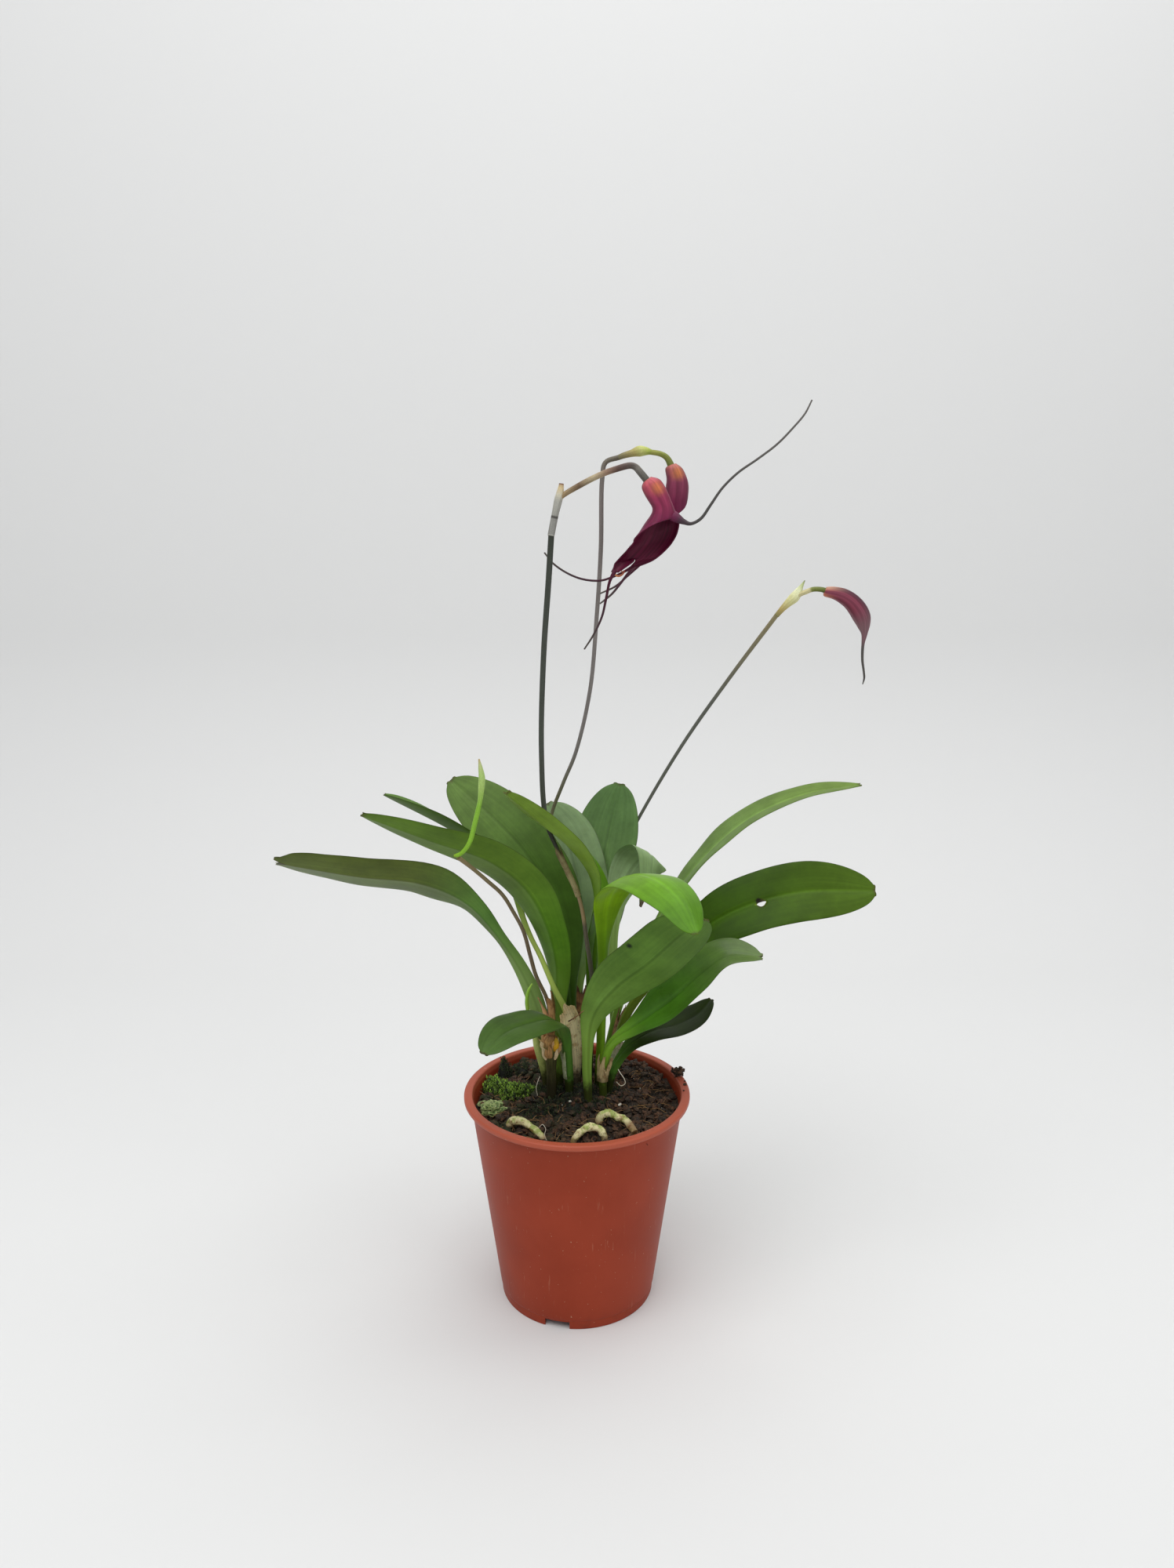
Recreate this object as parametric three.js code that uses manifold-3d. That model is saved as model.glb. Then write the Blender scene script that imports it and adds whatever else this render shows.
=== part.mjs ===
// A potted masdevallia orchid: a small plastic pot filled with bark and moss, fifteen leathery
// leaves, four flower stems, two open flowers and two buds.
// Millimetres, +Z up. The origin is on the pot's axis, on the surface that the pot stands on.
// The front of the plant looks along -Y.

import * as THREE from 'three';
import { mergeVertices } from 'three/addons/utils/BufferGeometryUtils.js';
import Module from 'manifold-3d';

const wasm = await Module();
wasm.setup();

// Pot, a common 9 cm nursery pot. Its outline is drawn as radius and height.
const FLOOR_TOP = 5.5;
const INNER_FOOT_RADIUS = 30.2;
const INNER_TOP_RADIUS = 41.2;
const INNER_TOP_HEIGHT = 83.5;
const POT_OUTLINE = [
  [29.6, 0], [30.8, 0], [31.05, 3.8], [31.4, 4.2], [42.3, 83.6], [44.6, 83.6], [45, 84.2], [45, 85.6],
  [44.4, 86], [42.1, 86], [41.6, 85.6], [INNER_TOP_RADIUS, INNER_TOP_HEIGHT],
  [INNER_FOOT_RADIUS, FLOOR_TOP], [4, FLOOR_TOP], [4, 4], [29.6, 4],
];
const POT_SIDES = 48;
const DRAIN_HOLE_RADIUS = 3;
const DRAIN_HOLE_CIRCLE = 20;
const DRAIN_HOLE_COUNT = 6;
const DRAIN_HOLE_SIDES = 12;
const NOTCH_COUNT = 3;
const NOTCH_WIDTH = 10;
const NOTCH_HEIGHT = 3.2;
const NOTCH_DEPTH = 6;
const FIRST_NOTCH_ANGLE = -104.5;
const FOOT_RING_RADIUS = 30.2;
// Long enough for a cutter to pass right through the pot's floor
const CUTTER_LENGTH = 20;

// Substrate, and the stems that stand in it
const GAP = 0.3;
const SOIL_LEVEL = 79;
// The radius at which the height of the substrate along the wall is read
const RIM_REACH = 40.5;
const SOIL_RINGS = [1, 0.93, 0.8, 0.64, 0.46, 0.28, 0.12];
const STEM_DEPTH = 12;
const HOLE_CLEARANCE = 0.45;
const HOLE_SIDES = 10;
const HOLE_LENGTH = 30;
const STEM_RADIUS = 1.6;

// Leaves
const BLADE_HALF_THICKNESS = 0.75;
const TIP_HALF_THICKNESS = 0.4;
const FOLD_SOFTNESS = 1.5;
const TIP_NOTCH = 0.8;
const LEAF_SIDES = 8;
const LEAF_STEPS = 17;
// Above 1, the rings stand closer together towards the tip
const TIP_CROWDING = 1.4;
// The half width of a blade along its length, as shares of the way from its petiole's to its widest.
// A leaf's `profile` and `stalk` replace this one and STALK.
const BLADE_PROFILE = [0, 0.1, 0.38, 0.74, 0.96, 1, 1, 0.95, 0.88];
const TIP_WIDTH = 0.2;
// Half width and half thickness of a petiole just below its blade
const STALK = [2, 1.6];

// Stems, flowers and roots: faces around, and rings between two route points
const STRAND_SIDES = 6;
const FLOWER_SIDES = 8;
const STEPS_PER_POINT = 2;

// Sheaths: papery sleeves that are open along one side
const SHEATH_THICKNESS = 0.62;
const SHEATH_POINTS = 7;
const SHEATH_RINGS = 5;
const SHEATH_FOOT = 0.8;
const SHEATH_TEETH = 1.6;
const SHEATH_ARCH = 2.2;

const LEAVES = [
  {
    name: 'leaf_far_left', foot: [-11.7, 14.9],
    route: [[-12.5, 14, 94], [-15, 13, 112], [-21.5, 11, 131], [-31.3, 8, 148.5], [-43, 5, 163],
      [-60, 3, 171.4], [-84, 1, 174.8], [-116, 0, 180.5]],
    halfWidth: 11.5, bladeFrom: 0.3, roll: [80, 78, 56, 46, 36], fold: 9, tipFrom: 0.86, stalk: [3.6, 1.1],
    profile: [0, -0.06, -0.1, 0.3, 1, 1, 1, 0.95, 0.88],
  },
  {
    name: 'leaf_left_upper', foot: [-7.2, 7.6],
    route: [[-7.4, 8.2, 98], [-7.6, 10, 115], [-7.5, 7.5, 135], [-11.5, 1, 155], [-19, -6, 172],
      [-32, -12, 184.5], [-53, -18, 194], [-77, -24, 205]],
    halfWidth: 10.3, bladeFrom: 0.2, roll: [0, 20, 42, 42, 30], fold: 9, tipFrom: 0.64,
    profile: [0, 0.26, 0.5, 0.68, 0.88, 1, 1, 0.95, 0.88],
  },
  {
    name: 'leaf_left_narrow', foot: [-1.5, 10.5],
    route: [[-1.5, 8.5, 99], [-4.3, 4.5, 117], [-9, 2.8, 128], [-14, 4, 140], [-21, 7, 155], [-26, 10, 168],
      [-34, 12, 179], [-46, 14, 188], [-76, 18, 203]],
    halfWidth: 7.5, bladeFrom: 0.45, roll: [0, 10, 25, 25, 10], fold: 24, tipFrom: 0.8,
    stalk: [1, 1],
  },
  {
    name: 'leaf_left_broad', foot: [-2, 17],
    route: [[-2, 17.5, 98], [-3, 19, 120], [-5, 22, 141], [-11, 26, 159], [-21, 31, 175], [-34, 37, 188],
      [-53, 45, 203]],
    halfWidth: 13.5, bladeFrom: 0.25, roll: [-10, -30, -40, -40, -35], fold: 10, tipFrom: 0.76,
  },
  {
    name: 'leaf_twisted', foot: [4.5, 11],
    route: [[5, 9, 102], [5.5, 7.5, 123], [6, 6, 142], [8, 4, 157], [6, 1, 174], [-2.5, -6, 188.5],
      [-13.5, -12, 199.5], [-25.5, -18, 212]],
    halfWidth: 10.8, bladeFrom: 0.35, roll: [-60, -85, -90, -20, 15], fold: 16, tipFrom: 0.48,
  },
  {
    name: 'leaf_back_rounded', foot: [1, 24],
    route: [[0.5, 25.5, 95], [0, 28, 118], [0.8, 32, 140], [0, 37, 161], [-5, 43, 178], [-13, 50, 192]],
    halfWidth: 13, bladeFrom: 0.34, roll: [-10, -15, -20, -20, -15], fold: 6, tipFrom: 0.76,
  },
  {
    name: 'leaf_back_upright', foot: [10, 26.5],
    route: [[10, 27, 94], [9, 31, 117], [9, 36, 139], [9.5, 42, 161], [13, 49, 180], [18, 57, 199]],
    halfWidth: 13.5, bladeFrom: 0.34, roll: [0, 0, 0, 0, 0], fold: 8, tipFrom: 0.74,
  },
  {
    name: 'leaf_back_small', foot: [15.5, 24.5],
    route: [[15.5, 25, 96], [15, 26.5, 119], [15, 28, 142], [18, 30, 161], [25, 28, 173.5],
      [29.5, 19, 177.5], [28.5, 11, 170], [25, 7, 160]],
    halfWidth: 10, bladeFrom: 0.52, roll: [0, 0, -5, -38, -40], fold: -10, tipFrom: 0.6,
  },
  {
    name: 'leaf_young_arching', foot: [8.5, 7],
    route: [[9.5, 6, 103], [10, 3, 128], [10.5, -2, 152], [12.5, -8, 169.5], [19, -20, 180.5],
      [28, -34, 183.5], [36, -46.5, 179.5], [40.6, -57.2, 171.5]],
    halfWidth: 10.5, bladeFrom: 0.42, roll: [0, 0, 0, 5, 5], fold: -14, tipFrom: 0.66,
  },
  {
    name: 'leaf_right_narrow', foot: [10.5, 19.5],
    route: [[13, 19, 96], [18, 20, 116], [27, 22, 136], [37, 24, 155], [50, 26, 173], [69, 28, 190],
      [92, 30, 200], [115, 31, 204]],
    halfWidth: 8, bladeFrom: 0.35, roll: [0, 0, 6, 8, 5], fold: 14, tipFrom: 0.7,
  },
  {
    name: 'leaf_right_large', foot: [12, 10.5],
    route: [[14.5, 11, 95], [20, 11, 113], [30, 9, 129], [42, 7, 144], [60, 5, 158], [85, 3, 167],
      [116, 3, 168]],
    halfWidth: 12, bladeFrom: 0.33, roll: [0, 20, 45, 55, 55], fold: 8, tipFrom: 0.76,
  },
  {
    name: 'leaf_front_broad', foot: [4.5, -3.5],
    route: [[4, -4, 100], [6, -7, 120], [15, -13, 135], [27, -21, 148], [38, -30, 162], [46, -36, 170]],
    halfWidth: 12, bladeFrom: 0.28, roll: [-10, -30, -50, -50, -45], fold: 6, tipFrom: 0.8,
  },
  {
    name: 'leaf_front_glossy', foot: [10.5, 0.5],
    route: [[10.5, 0, 93], [13.5, -2, 106], [24, -5, 116], [37, -8, 127.5], [48, -10, 139],
      [58, -12, 147], [70.5, -14, 147]],
    halfWidth: 9.6, bladeFrom: 0.3, roll: [0, 20, 42, 40, 15], fold: 20, tipFrom: 0.6,
  },
  {
    name: 'leaf_right_dark', foot: [12.4, 5],
    route: [[14, 5, 90], [16.9, 4.8, 96.5], [22, 4.4, 103.6], [30, 6, 108], [40, 10, 109],
      [49, 14, 112], [55, 18, 117]],
    halfWidth: 9, bladeFrom: 0.33, roll: [0, 5, 8, 8, 8], fold: 8, tipFrom: 0.62,
  },
  {
    name: 'leaf_left_small', foot: [-3, 1.5],
    route: [[-3.6, 0, 99], [-4.6, -3, 110], [-9, -9, 119], [-19, -20, 122.3], [-27, -30, 122.8],
      [-33.5, -39, 119.4]],
    halfWidth: 10.2, bladeFrom: 0.36, roll: [0, -5, -8, -8, -8], fold: 4, tipFrom: 0.62,
  },
];

// A small hole that an insect left in the large leaf on the right
const LEAF_HOLE = { leaf: 'leaf_right_large', at: 0.73, across: -1, radius: 1.1, stretch: 1.7, length: 8 };

// Each route point below is x, y, z and a half width, then a half thickness where the piece is flat
const STEMS = {
  peduncle_tall: [[4, 2.8, 67, 1], [4, 2.8, 82, 1], [6, 0, 116, 0.95], [6, -2, 133, 0.9],
    [4, -3.5, 149, 0.85], [1.1, -4.5, 167, 0.75], [-7, -1, 185, 0.75], [-11.5, 1.5, 196, 0.95],
    [-13.2, 3, 222, 1], [-12.1, 2, 259, 1.05], [-10, 1, 287, 1.1], [-8.9, 0, 303, 1.1]],
  peduncle_thin: [[-5.5, 21, 67, 1], [-5.5, 21, 82, 1], [-5.8, 22, 100, 0.85], [-6.5, 24.5, 125, 0.8],
    [-8, 28.5, 150, 0.75], [-10, 33.5, 165, 0.75], [-11.3, 39, 180, 0.75], [-10.9, 40, 188.5, 0.75],
    [-5.8, 36, 203.4, 0.75], [-0.4, 32, 217.5, 0.78], [5.2, 27, 243, 0.8], [7.6, 21, 270.5, 0.82],
    [9.2, 16, 297.8, 0.85], [9.6, 12, 323.3, 0.85],
    [10.8, 12, 328.9, 0.9], [15.9, 12, 330.8, 0.95]],
  peduncle_right: [[9, 31, 67, 1], [9, 31, 82, 1], [9, 34, 105, 0.85], [10, 39, 128, 0.8],
    [12, 45, 148, 0.75], [16.2, 48, 165.4, 0.7], [25.2, 51, 183.6, 0.7], [43.5, 46, 217.6, 0.75],
    [61.4, 39, 246.2, 0.8], [78.3, 31, 271.9, 0.9]],
  peduncle_budding: [[-11.3, 6.3, 67, 1], [-11.3, 6.3, 82, 1], [-11, 6, 104, 0.85], [-11, 5.2, 117, 0.8],
    [-12.2, 5, 123, 0.8], [-16.1, 4, 132.5, 0.8], [-18.2, 2.2, 141.5, 0.8], [-20.7, -1, 153, 0.75],
    [-24.2, -4, 161.6, 0.75], [-28, -8.5, 170, 0.75], [-33, -14, 177, 0.75], [-38.3, -21, 184.4, 0.75],
    [-42.3, -26.3, 189.3, 0.8]],
};

const BRACTS = {
  bract_dry: [[-8.9, 0, 303.4, 1.2], [-7.4, 0, 310.5, 1.3], [-6.2, 0, 315.5, 1.35], [-5.5, 0, 319, 1.15],
    [-5.2, 0, 321, 0.9]],
  bract_green: [[16.25, 12, 330.95, 1], [19.5, 12, 331.9, 1.2], [23.2, 12, 332.8, 1.9],
    [25.6, 12, 332.9, 1.5], [27.4, 12, 332.6, 0.95]],
  bract_pointed: [[78.55, 30.9, 272.25, 0.95], [81.2, 30, 276.1, 1.35], [83.6, 29.4, 279.6, 1.7],
    [85.3, 29, 282.2, 1.25], [86.8, 28.6, 284.2, 0.75], [88, 28.3, 285.8, 0.35]],
};

const PEDICELS = {
  pedicel_tall: [[-3.75, -0.2, 317.8, 0.95], [1.7, -1, 320.4, 1.05], [8.7, -2.5, 323.8, 1.05],
    [14.3, -3.5, 325.8, 1.1], [19.8, -4, 326.9, 1.15], [22, -4, 325.5, 1.25], [24.9, -4, 323.3, 1.3]],
  pedicel_thin: [[27.75, 12, 332.5, 0.95], [31, 12, 331.9, 1], [33.2, 12, 330.6, 1.1],
    [34.4, 12, 328.7, 1.25]],
  pedicel_right: [[87.2, 28.6, 281, 0.9], [89.7, 28, 282.1, 0.95], [93.7, 27, 282.5, 1.05],
    [96.85, 26.1, 282.1, 1.05]],
};

const BUD_GREEN = [[-43.2, -26.9, 190.3, 0.6], [-41, -27.6, 191.8, 0.7], [-38.8, -28, 194.1, 0.8],
  [-37.4, -28, 197, 0.85], [-36.5, -28, 200.3, 0.9], [-35.2, -28, 205.5, 0.9], [-33.9, -28, 211, 0.85],
  [-33.3, -28, 216, 1.15], [-33.1, -28, 219.3, 1.15], [-33.5, -28, 222.7, 0.8], [-34, -28, 226, 0.35]];

const FLOWER_BUD = [[97.45, 26, 282, 1.4], [100, 26, 281.5, 2.3], [103, 26, 280.1, 3],
  [106.5, 26, 277.8, 3.5], [109.2, 26, 274.4, 3.7], [110.8, 26, 270.3, 3.6], [111.6, 26, 266.3, 3],
  [112, 26, 263, 1.7], [111.9, 26, 260, 0.95], [111.6, 26, 254, 0.6], [112.9, 26, 245.4, 0.4]];

// Flowers. The tube is hollow from the share `hollowFrom` on, and ends in its mouth.
const FLOWERS = {
  flower_front: {
    tube: [[25.3, -4, 322.9, 1.7], [26.6, -4, 321.2, 2.8], [28.6, -4, 318, 3.1], [30.3, -4, 315, 3.4],
      [31.4, -4, 312, 4.1], [31.7, -4, 309, 5], [31.1, -3.8, 306, 5.6]],
    sepals: [
      [[32, 0.2, 311, 3.6, 0.6], [32, 1, 306.5, 4.6, 0.5], [31.3, 1, 302.3, 4.6, 0.45],
        [29.2, 1.5, 298.6, 3.8, 0.42], [26.5, 2, 295.6, 2.6, 0.4], [23.3, 2.3, 292.9, 1.3, 0.38],
        [18.6, 3, 290.2, 0.5, 0.4], [8.8, 5, 286.4, 0.42], [-2.8, 6.5, 288.6, 0.38], [-11.7, 7, 295.7, 0.35]],
      [[30.6, -0.5, 310, 2.4, 0.6], [27.9, -0.8, 305.8, 3.1, 0.5], [25.2, -1, 301.8, 3, 0.45],
        [22.4, -1.5, 298, 2.6, 0.42], [19.6, -2, 295, 2, 0.4], [16.6, -2.8, 292.2, 1.1, 0.38],
        [12.6, -4, 286.7, 0.48], [9.8, -4.5, 274.4, 0.42], [3, -4.5, 262.2, 0.36]],
      [[32.5, -6.9, 311.5, 2.2, 0.7], [35, -7.8, 309.2, 2, 0.6], [37.6, -8.6, 307.8, 1.1, 0.5],
        [40.6, -9.5, 306.9, 0.6], [44, -9.8, 308.6, 0.55], [47.3, -10, 313.2, 0.5], [51.3, -10, 319, 0.45],
        [56.7, -10, 324.3, 0.42], [63.4, -10, 328.9, 0.4], [70.2, -9.5, 334, 0.38], [75.6, -9, 339.5, 0.36],
        [79.6, -8.3, 344.2, 0.34], [82, -7.5, 348.8, 0.32]],
    ],
  },
  flower_back: {
    tube: [[34.85, 12, 328.2, 1.8], [35.6, 12, 326, 3.2], [36.7, 12, 322.5, 4.1], [37.4, 12, 318.5, 4.4],
      [37.2, 12.3, 314.5, 4], [36, 12.8, 310.5, 3.5], [34.4, 13.3, 306.5, 3.4]],
    sepals: [
      [[35.5, 13.5, 309, 2.6, 0.6], [32.5, 13.8, 302, 3, 0.5], [28, 13.5, 296.5, 2, 0.42],
        [22.9, 13, 292.3, 0.8, 0.38], [19.1, 11.5, 288.6, 0.5], [13.2, 10, 281.3, 0.42],
        [8.8, 9, 277.8, 0.36]],
      [[36, 15, 309, 2.4, 0.6], [34, 16.6, 303, 2.6, 0.5], [29.5, 17.6, 297, 1.8, 0.42],
        [23.5, 17, 291.8, 0.7, 0.38], [14.8, 15, 283.9, 0.42], [8.9, 14, 281.3, 0.36]],
    ],
  },
};
const FLOWER_WALL = 0.8;
const HOLLOW_FROM = 0.5;

const YOUNG_SHOOT = [[-14.6, 9.3, 67, 1.2], [-14.6, 9.3, 82, 1.2], [-15.1, 9, 95, 1.1], [-17, 8.6, 106, 0.95],
  [-19.5, 8, 115, 0.8], [-20.1, 7.8, 120.5, 0.75], [-19.3, 7.5, 125, 0.6], [-17.9, 7.5, 127.8, 0.4]];
const OLD_STEM = [[-10.2, -0.4, 67, 1.9], [-10.2, -0.4, 82, 1.9], [-10.2, -0.4, 96, 2],
  [-10.3, -0.4, 100.5, 2.5], [-10.3, -0.4, 104, 3.1], [-10.3, -0.4, 107.5, 2.9], [-10.2, -0.4, 109.5, 1.8]];

// Each sheath follows a stem from the substrate, or from `from`, to its ragged top. `inner` is its
// inner radius from foot to top; where that is wider than `snug`, the front stays close to the stem.
// A top with an `arch` stands highest in the middle, `teeth` make it ragged.
const SHEATHS = [
  {
    name: 'sheath_pale_large', on: 'leaf_left_narrow', top: 121.5,
    inner: [2.5, 3, 4.6, 4.8, 3.2], snug: 2.45, wrap: 126, facing: -62, arch: 9, teeth: 0.6,
  },
  {
    name: 'sheath_brown_back', on: 'leaf_back_rounded', top: 118,
    inner: [2.4, 2.4, 2.6, 2.9, 3.2], snug: 2.6, wrap: 230, facing: -90,
  },
  {
    name: 'sheath_brown_torn', on: 'peduncle_budding', from: 99, top: 123.5,
    inner: [1.5, 1.6, 1.8, 2, 2.2], snug: 1.5, wrap: 190, facing: -70,
  },
  {
    name: 'sheath_green', on: 'leaf_far_left', top: 104,
    inner: [2.1, 2.3, 2.7, 3.2, 3.5], snug: 3.2, wrap: 200, facing: -150,
  },
  {
    name: 'sheath_strip', on: 'leaf_left_small', from: 91, top: 103,
    inner: [2, 2, 2, 2, 2.1], snug: 2, wrap: 70, facing: 190,
  },
  {
    name: 'sheath_tan_front', on: 'leaf_front_glossy', top: 100.5,
    inner: [2.1, 2.2, 2.3, 2.4, 2.4], snug: 2.4, wrap: 210, facing: -115,
  },
  {
    name: 'sheath_brown_right', on: 'leaf_right_narrow', top: 113,
    inner: [2.2, 2.3, 2.4, 2.5, 2.5], snug: 2.4, wrap: 200, facing: -80,
  },
  {
    name: 'sheath_flake', on: 'leaf_right_large', from: 93, top: 102.5,
    inner: [2.1, 2.1, 2.2, 2.3, 2.4], snug: 2.3, wrap: 84, facing: -75,
  },
  {
    name: 'sheath_peduncle', on: 'peduncle_tall', from: 168, top: 185,
    inner: [1.3, 1.25, 1.25, 1.25, 1.3], snug: 1.3, wrap: 300, facing: -90,
  },
];

const ROOTS = {
  aerial_root_left: [[-26.3, -17.6, 77.4, 1.5], [-25.6, -18.8, 81.4, 1.7], [-23.4, -20.4, 83.3, 1.7],
    [-20.5, -21.7, 83.3, 1.6], [-16.8, -23.8, 82, 1.5], [-13.2, -26, 79.6, 1.3], [-11.2, -27.2, 77.4, 1.1]],
  aerial_root_middle: [[-2.2, -28.6, 76.6, 1.4], [-0.4, -28, 80.2, 1.5], [2.2, -26.9, 82.6, 1.6],
    [5, -25.9, 83.4, 1.6], [8.2, -25.8, 82.7, 1.6], [10.4, -26.4, 80.2, 1.5], [11.2, -26.8, 76.6, 1.4]],
  aerial_root_right: [[8.6, -14.8, 77.4, 1.4], [8.6, -15.6, 81, 1.5], [10.4, -15.6, 83.4, 1.6],
    [13, -15.9, 83.7, 1.6], [15.6, -17, 83, 1.5], [18, -18.2, 82.6, 1.5], [20.2, -21, 81.9, 1.45],
    [22.2, -24.8, 80.6, 1.45]],
};

// Growth and dirt on the substrate: centre, radii and how lumpy each is
const LUMPS = {
  moss_cushion: {
    centre: [-29.4, 10, 79.2], radii: [8.6, 8, 3.6], detail: 4, relief: 0.1, color: 0x3f7a22,
  },
  liverwort_patch: {
    centre: [-33.6, -5.4, 78.8], radii: [5, 6, 2.6], detail: 3, relief: 0.12, color: 0x7c9c4c,
  },
  soil_clump: {
    centre: [41.2, 12.6, 87.6], radii: [3.6, 3.4, 2.9], detail: 2, relief: 0.13, color: 0x33241b,
  },
};

const LEAF_GREEN = 0x3f6b2c;
const YOUNG_GREEN = 0x66a31f;
const STEM_GREY = 0x5d5f52;
const PAPER_TAN = 0xa98e68;
const FLOWER_RED = 0x7c2740;
const ROOT_CREAM = 0xc9c48c;
const SOIL_BROWN = 0x2c2019;
const POT_BROWN = 0x93432e;

const toRadians = THREE.MathUtils.degToRad;
const { clamp, lerp, smoothstep } = THREE.MathUtils;
const up = new THREE.Vector3(0, 0, 1);
const front = new THREE.Vector3(0, -1, 0);

// Values spaced evenly over 0..1, read with a smooth curve between them
function along(values, t) {
  const place = clamp(t, 0, 1) * (values.length - 1);
  const i = Math.min(Math.floor(place), values.length - 2);
  const before = values[Math.max(i - 1, 0)];
  const after = values[Math.min(i + 2, values.length - 1)];
  const f = place - i;
  const slope0 = (values[i + 1] - before) / 2;
  const slope1 = (after - values[i]) / 2;
  const rise = values[i + 1] - values[i];
  return values[i] + f * (slope0 + f * (3 * rise - 2 * slope0 - slope1 + f * (slope0 + slope1 - 2 * rise)));
}

function curveThrough(points) {
  const places = points.map(([x, y, z]) => new THREE.Vector3(x, y, z));
  return new THREE.CatmullRomCurve3(places, false, 'centripetal');
}

// A closed solid through rings of equal point counts. Opposite faces are split alike, so that thin
// blades never cross themselves, and both ends are closed with a strip.
function ringLoft(rings) {
  const n = rings[0].length;
  const positions = [];
  const indices = [];
  rings.forEach((ring) => ring.forEach((p) => positions.push(p.x, p.y, p.z)));
  for (let i = 0; i < rings.length - 1; i += 1) {
    for (let k = 0; k < n; k += 1) {
      const a = i * n + k;
      const b = i * n + ((k + 1) % n);
      const c = b + n;
      const d = a + n;
      if (k < n / 2) {
        indices.push(a, b, c, a, c, d);
      } else {
        indices.push(a, b, d, b, c, d);
      }
    }
  }
  const last = (rings.length - 1) * n;
  for (let k = 0; k < n / 2 - 1; k += 1) {
    const [a, b, c, d] = [k, k + 1, n - 2 - k, n - 1 - k];
    indices.push(a, c, b, a, d, c);
    indices.push(last + a, last + b, last + c, last + a, last + c, last + d);
  }
  const geometry = new THREE.BufferGeometry();
  geometry.setAttribute('position', new THREE.Float32BufferAttribute(positions, 3));
  geometry.setIndex(indices);
  return geometry;
}

function toSolid(geometry) {
  const bare = geometry.clone();
  bare.deleteAttribute('normal');
  bare.deleteAttribute('uv');
  const merged = mergeVertices(bare, 1e-4);
  return new wasm.Manifold(new wasm.Mesh({
    numProp: 3,
    vertProperties: new Float32Array(merged.attributes.position.array),
    triVerts: new Uint32Array(merged.index.array),
  }));
}

function toGeometry(solid) {
  const mesh = solid.getMesh();
  const geometry = new THREE.BufferGeometry();
  geometry.setAttribute('position', new THREE.Float32BufferAttribute(mesh.vertProperties, 3));
  geometry.setIndex(new THREE.Uint32BufferAttribute(mesh.triVerts, 1));
  return geometry;
}

// A round bar on the origin, standing along Z
function rod(radius, length, sides) {
  return new THREE.CylinderGeometry(radius, radius, length, sides).rotateX(Math.PI / 2);
}

function largestPiece(solid) {
  return solid.decompose().reduce((a, b) => (b.volume() > a.volume() ? b : a));
}

// The frame at a share t of a route's length: s runs across the blade and n is its upper face
function bladeFrame(curve, t, side, roll) {
  const tangent = curve.getTangentAt(t);
  const across = side.clone().addScaledVector(tangent, -side.dot(tangent)).normalize();
  const face = tangent.clone().cross(across);
  const angle = toRadians(roll);
  const s = across.clone().multiplyScalar(Math.cos(angle)).addScaledVector(face, Math.sin(angle));
  return { point: curve.getPointAt(t), tangent, s, n: tangent.clone().cross(s) };
}

function leafSide(leaf) {
  const tip = leaf.route[leaf.route.length - 1];
  const lean = new THREE.Vector3(tip[0] - leaf.foot[0], tip[1] - leaf.foot[1], 0).normalize();
  return up.clone().cross(lean);
}

function leafCurve(leaf) {
  const [x, y] = leaf.foot;
  const surface = soilHeight(x, y);
  return curveThrough([[x, y, SOIL_LEVEL - STEM_DEPTH], [x, y, surface - 3], [x, y, surface + 2.5],
    ...leaf.route]);
}

// One leaf: a round stem at the foot, a channelled petiole and a thick blade with a notched tip
function leafGeometry(leaf) {
  const curve = leafCurve(leaf);
  const side = leafSide(leaf);
  const rings = [];
  for (let i = 0; i <= LEAF_STEPS; i += 1) {
    const t = 1 - (1 - i / LEAF_STEPS) ** TIP_CROWDING;
    const frame = bladeFrame(curve, t, side, along(leaf.roll, t));
    const share = clamp((t - leaf.bladeFrom) / (1 - leaf.bladeFrom), 0, 1);
    const [stalkWidth, stalkThickness] = leaf.stalk ?? STALK;
    const petioleShare = smoothstep(t, 0.1, leaf.bladeFrom);
    const petiole = lerp(STEM_RADIUS, stalkWidth, petioleShare);
    const tip = clamp((share - leaf.tipFrom) / (1 - leaf.tipFrom), 0, 1);
    const rounding = Math.max(Math.sqrt(1 - tip * tip), TIP_WIDTH);
    const widening = along(leaf.profile ?? BLADE_PROFILE, share);
    const halfWidth = petiole + (leaf.halfWidth * rounding - petiole) * widening;
    const thinning = smoothstep(share, 0, 0.35);
    const blade = lerp(BLADE_HALF_THICKNESS, TIP_HALF_THICKNESS, share * share);
    const halfThickness = lerp(lerp(STEM_RADIUS, stalkThickness, petioleShare), blade, thinning);
    const slope = Math.tan(toRadians(leaf.fold)) * thinning;
    const notch = TIP_NOTCH * smoothstep(share, 0.9, 1);
    rings.push(bladeRing(frame, halfWidth, halfThickness, slope, notch));
  }
  return ringLoft(rings);
}

function bladeRing(frame, halfWidth, halfThickness, slope, notch) {
  const ring = [];
  for (let k = 0; k < LEAF_SIDES; k += 1) {
    const angle = (2 * Math.PI * k) / LEAF_SIDES;
    const x = halfWidth * Math.cos(angle);
    const lift = slope * (Math.hypot(x, FOLD_SOFTNESS) - FOLD_SOFTNESS);
    ring.push(frame.point.clone()
      .addScaledVector(frame.s, x)
      .addScaledVector(frame.n, lift + halfThickness * Math.sin(angle))
      .addScaledVector(frame.tangent, notch * Math.abs(Math.cos(angle)) - notch));
  }
  return ring;
}

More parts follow.
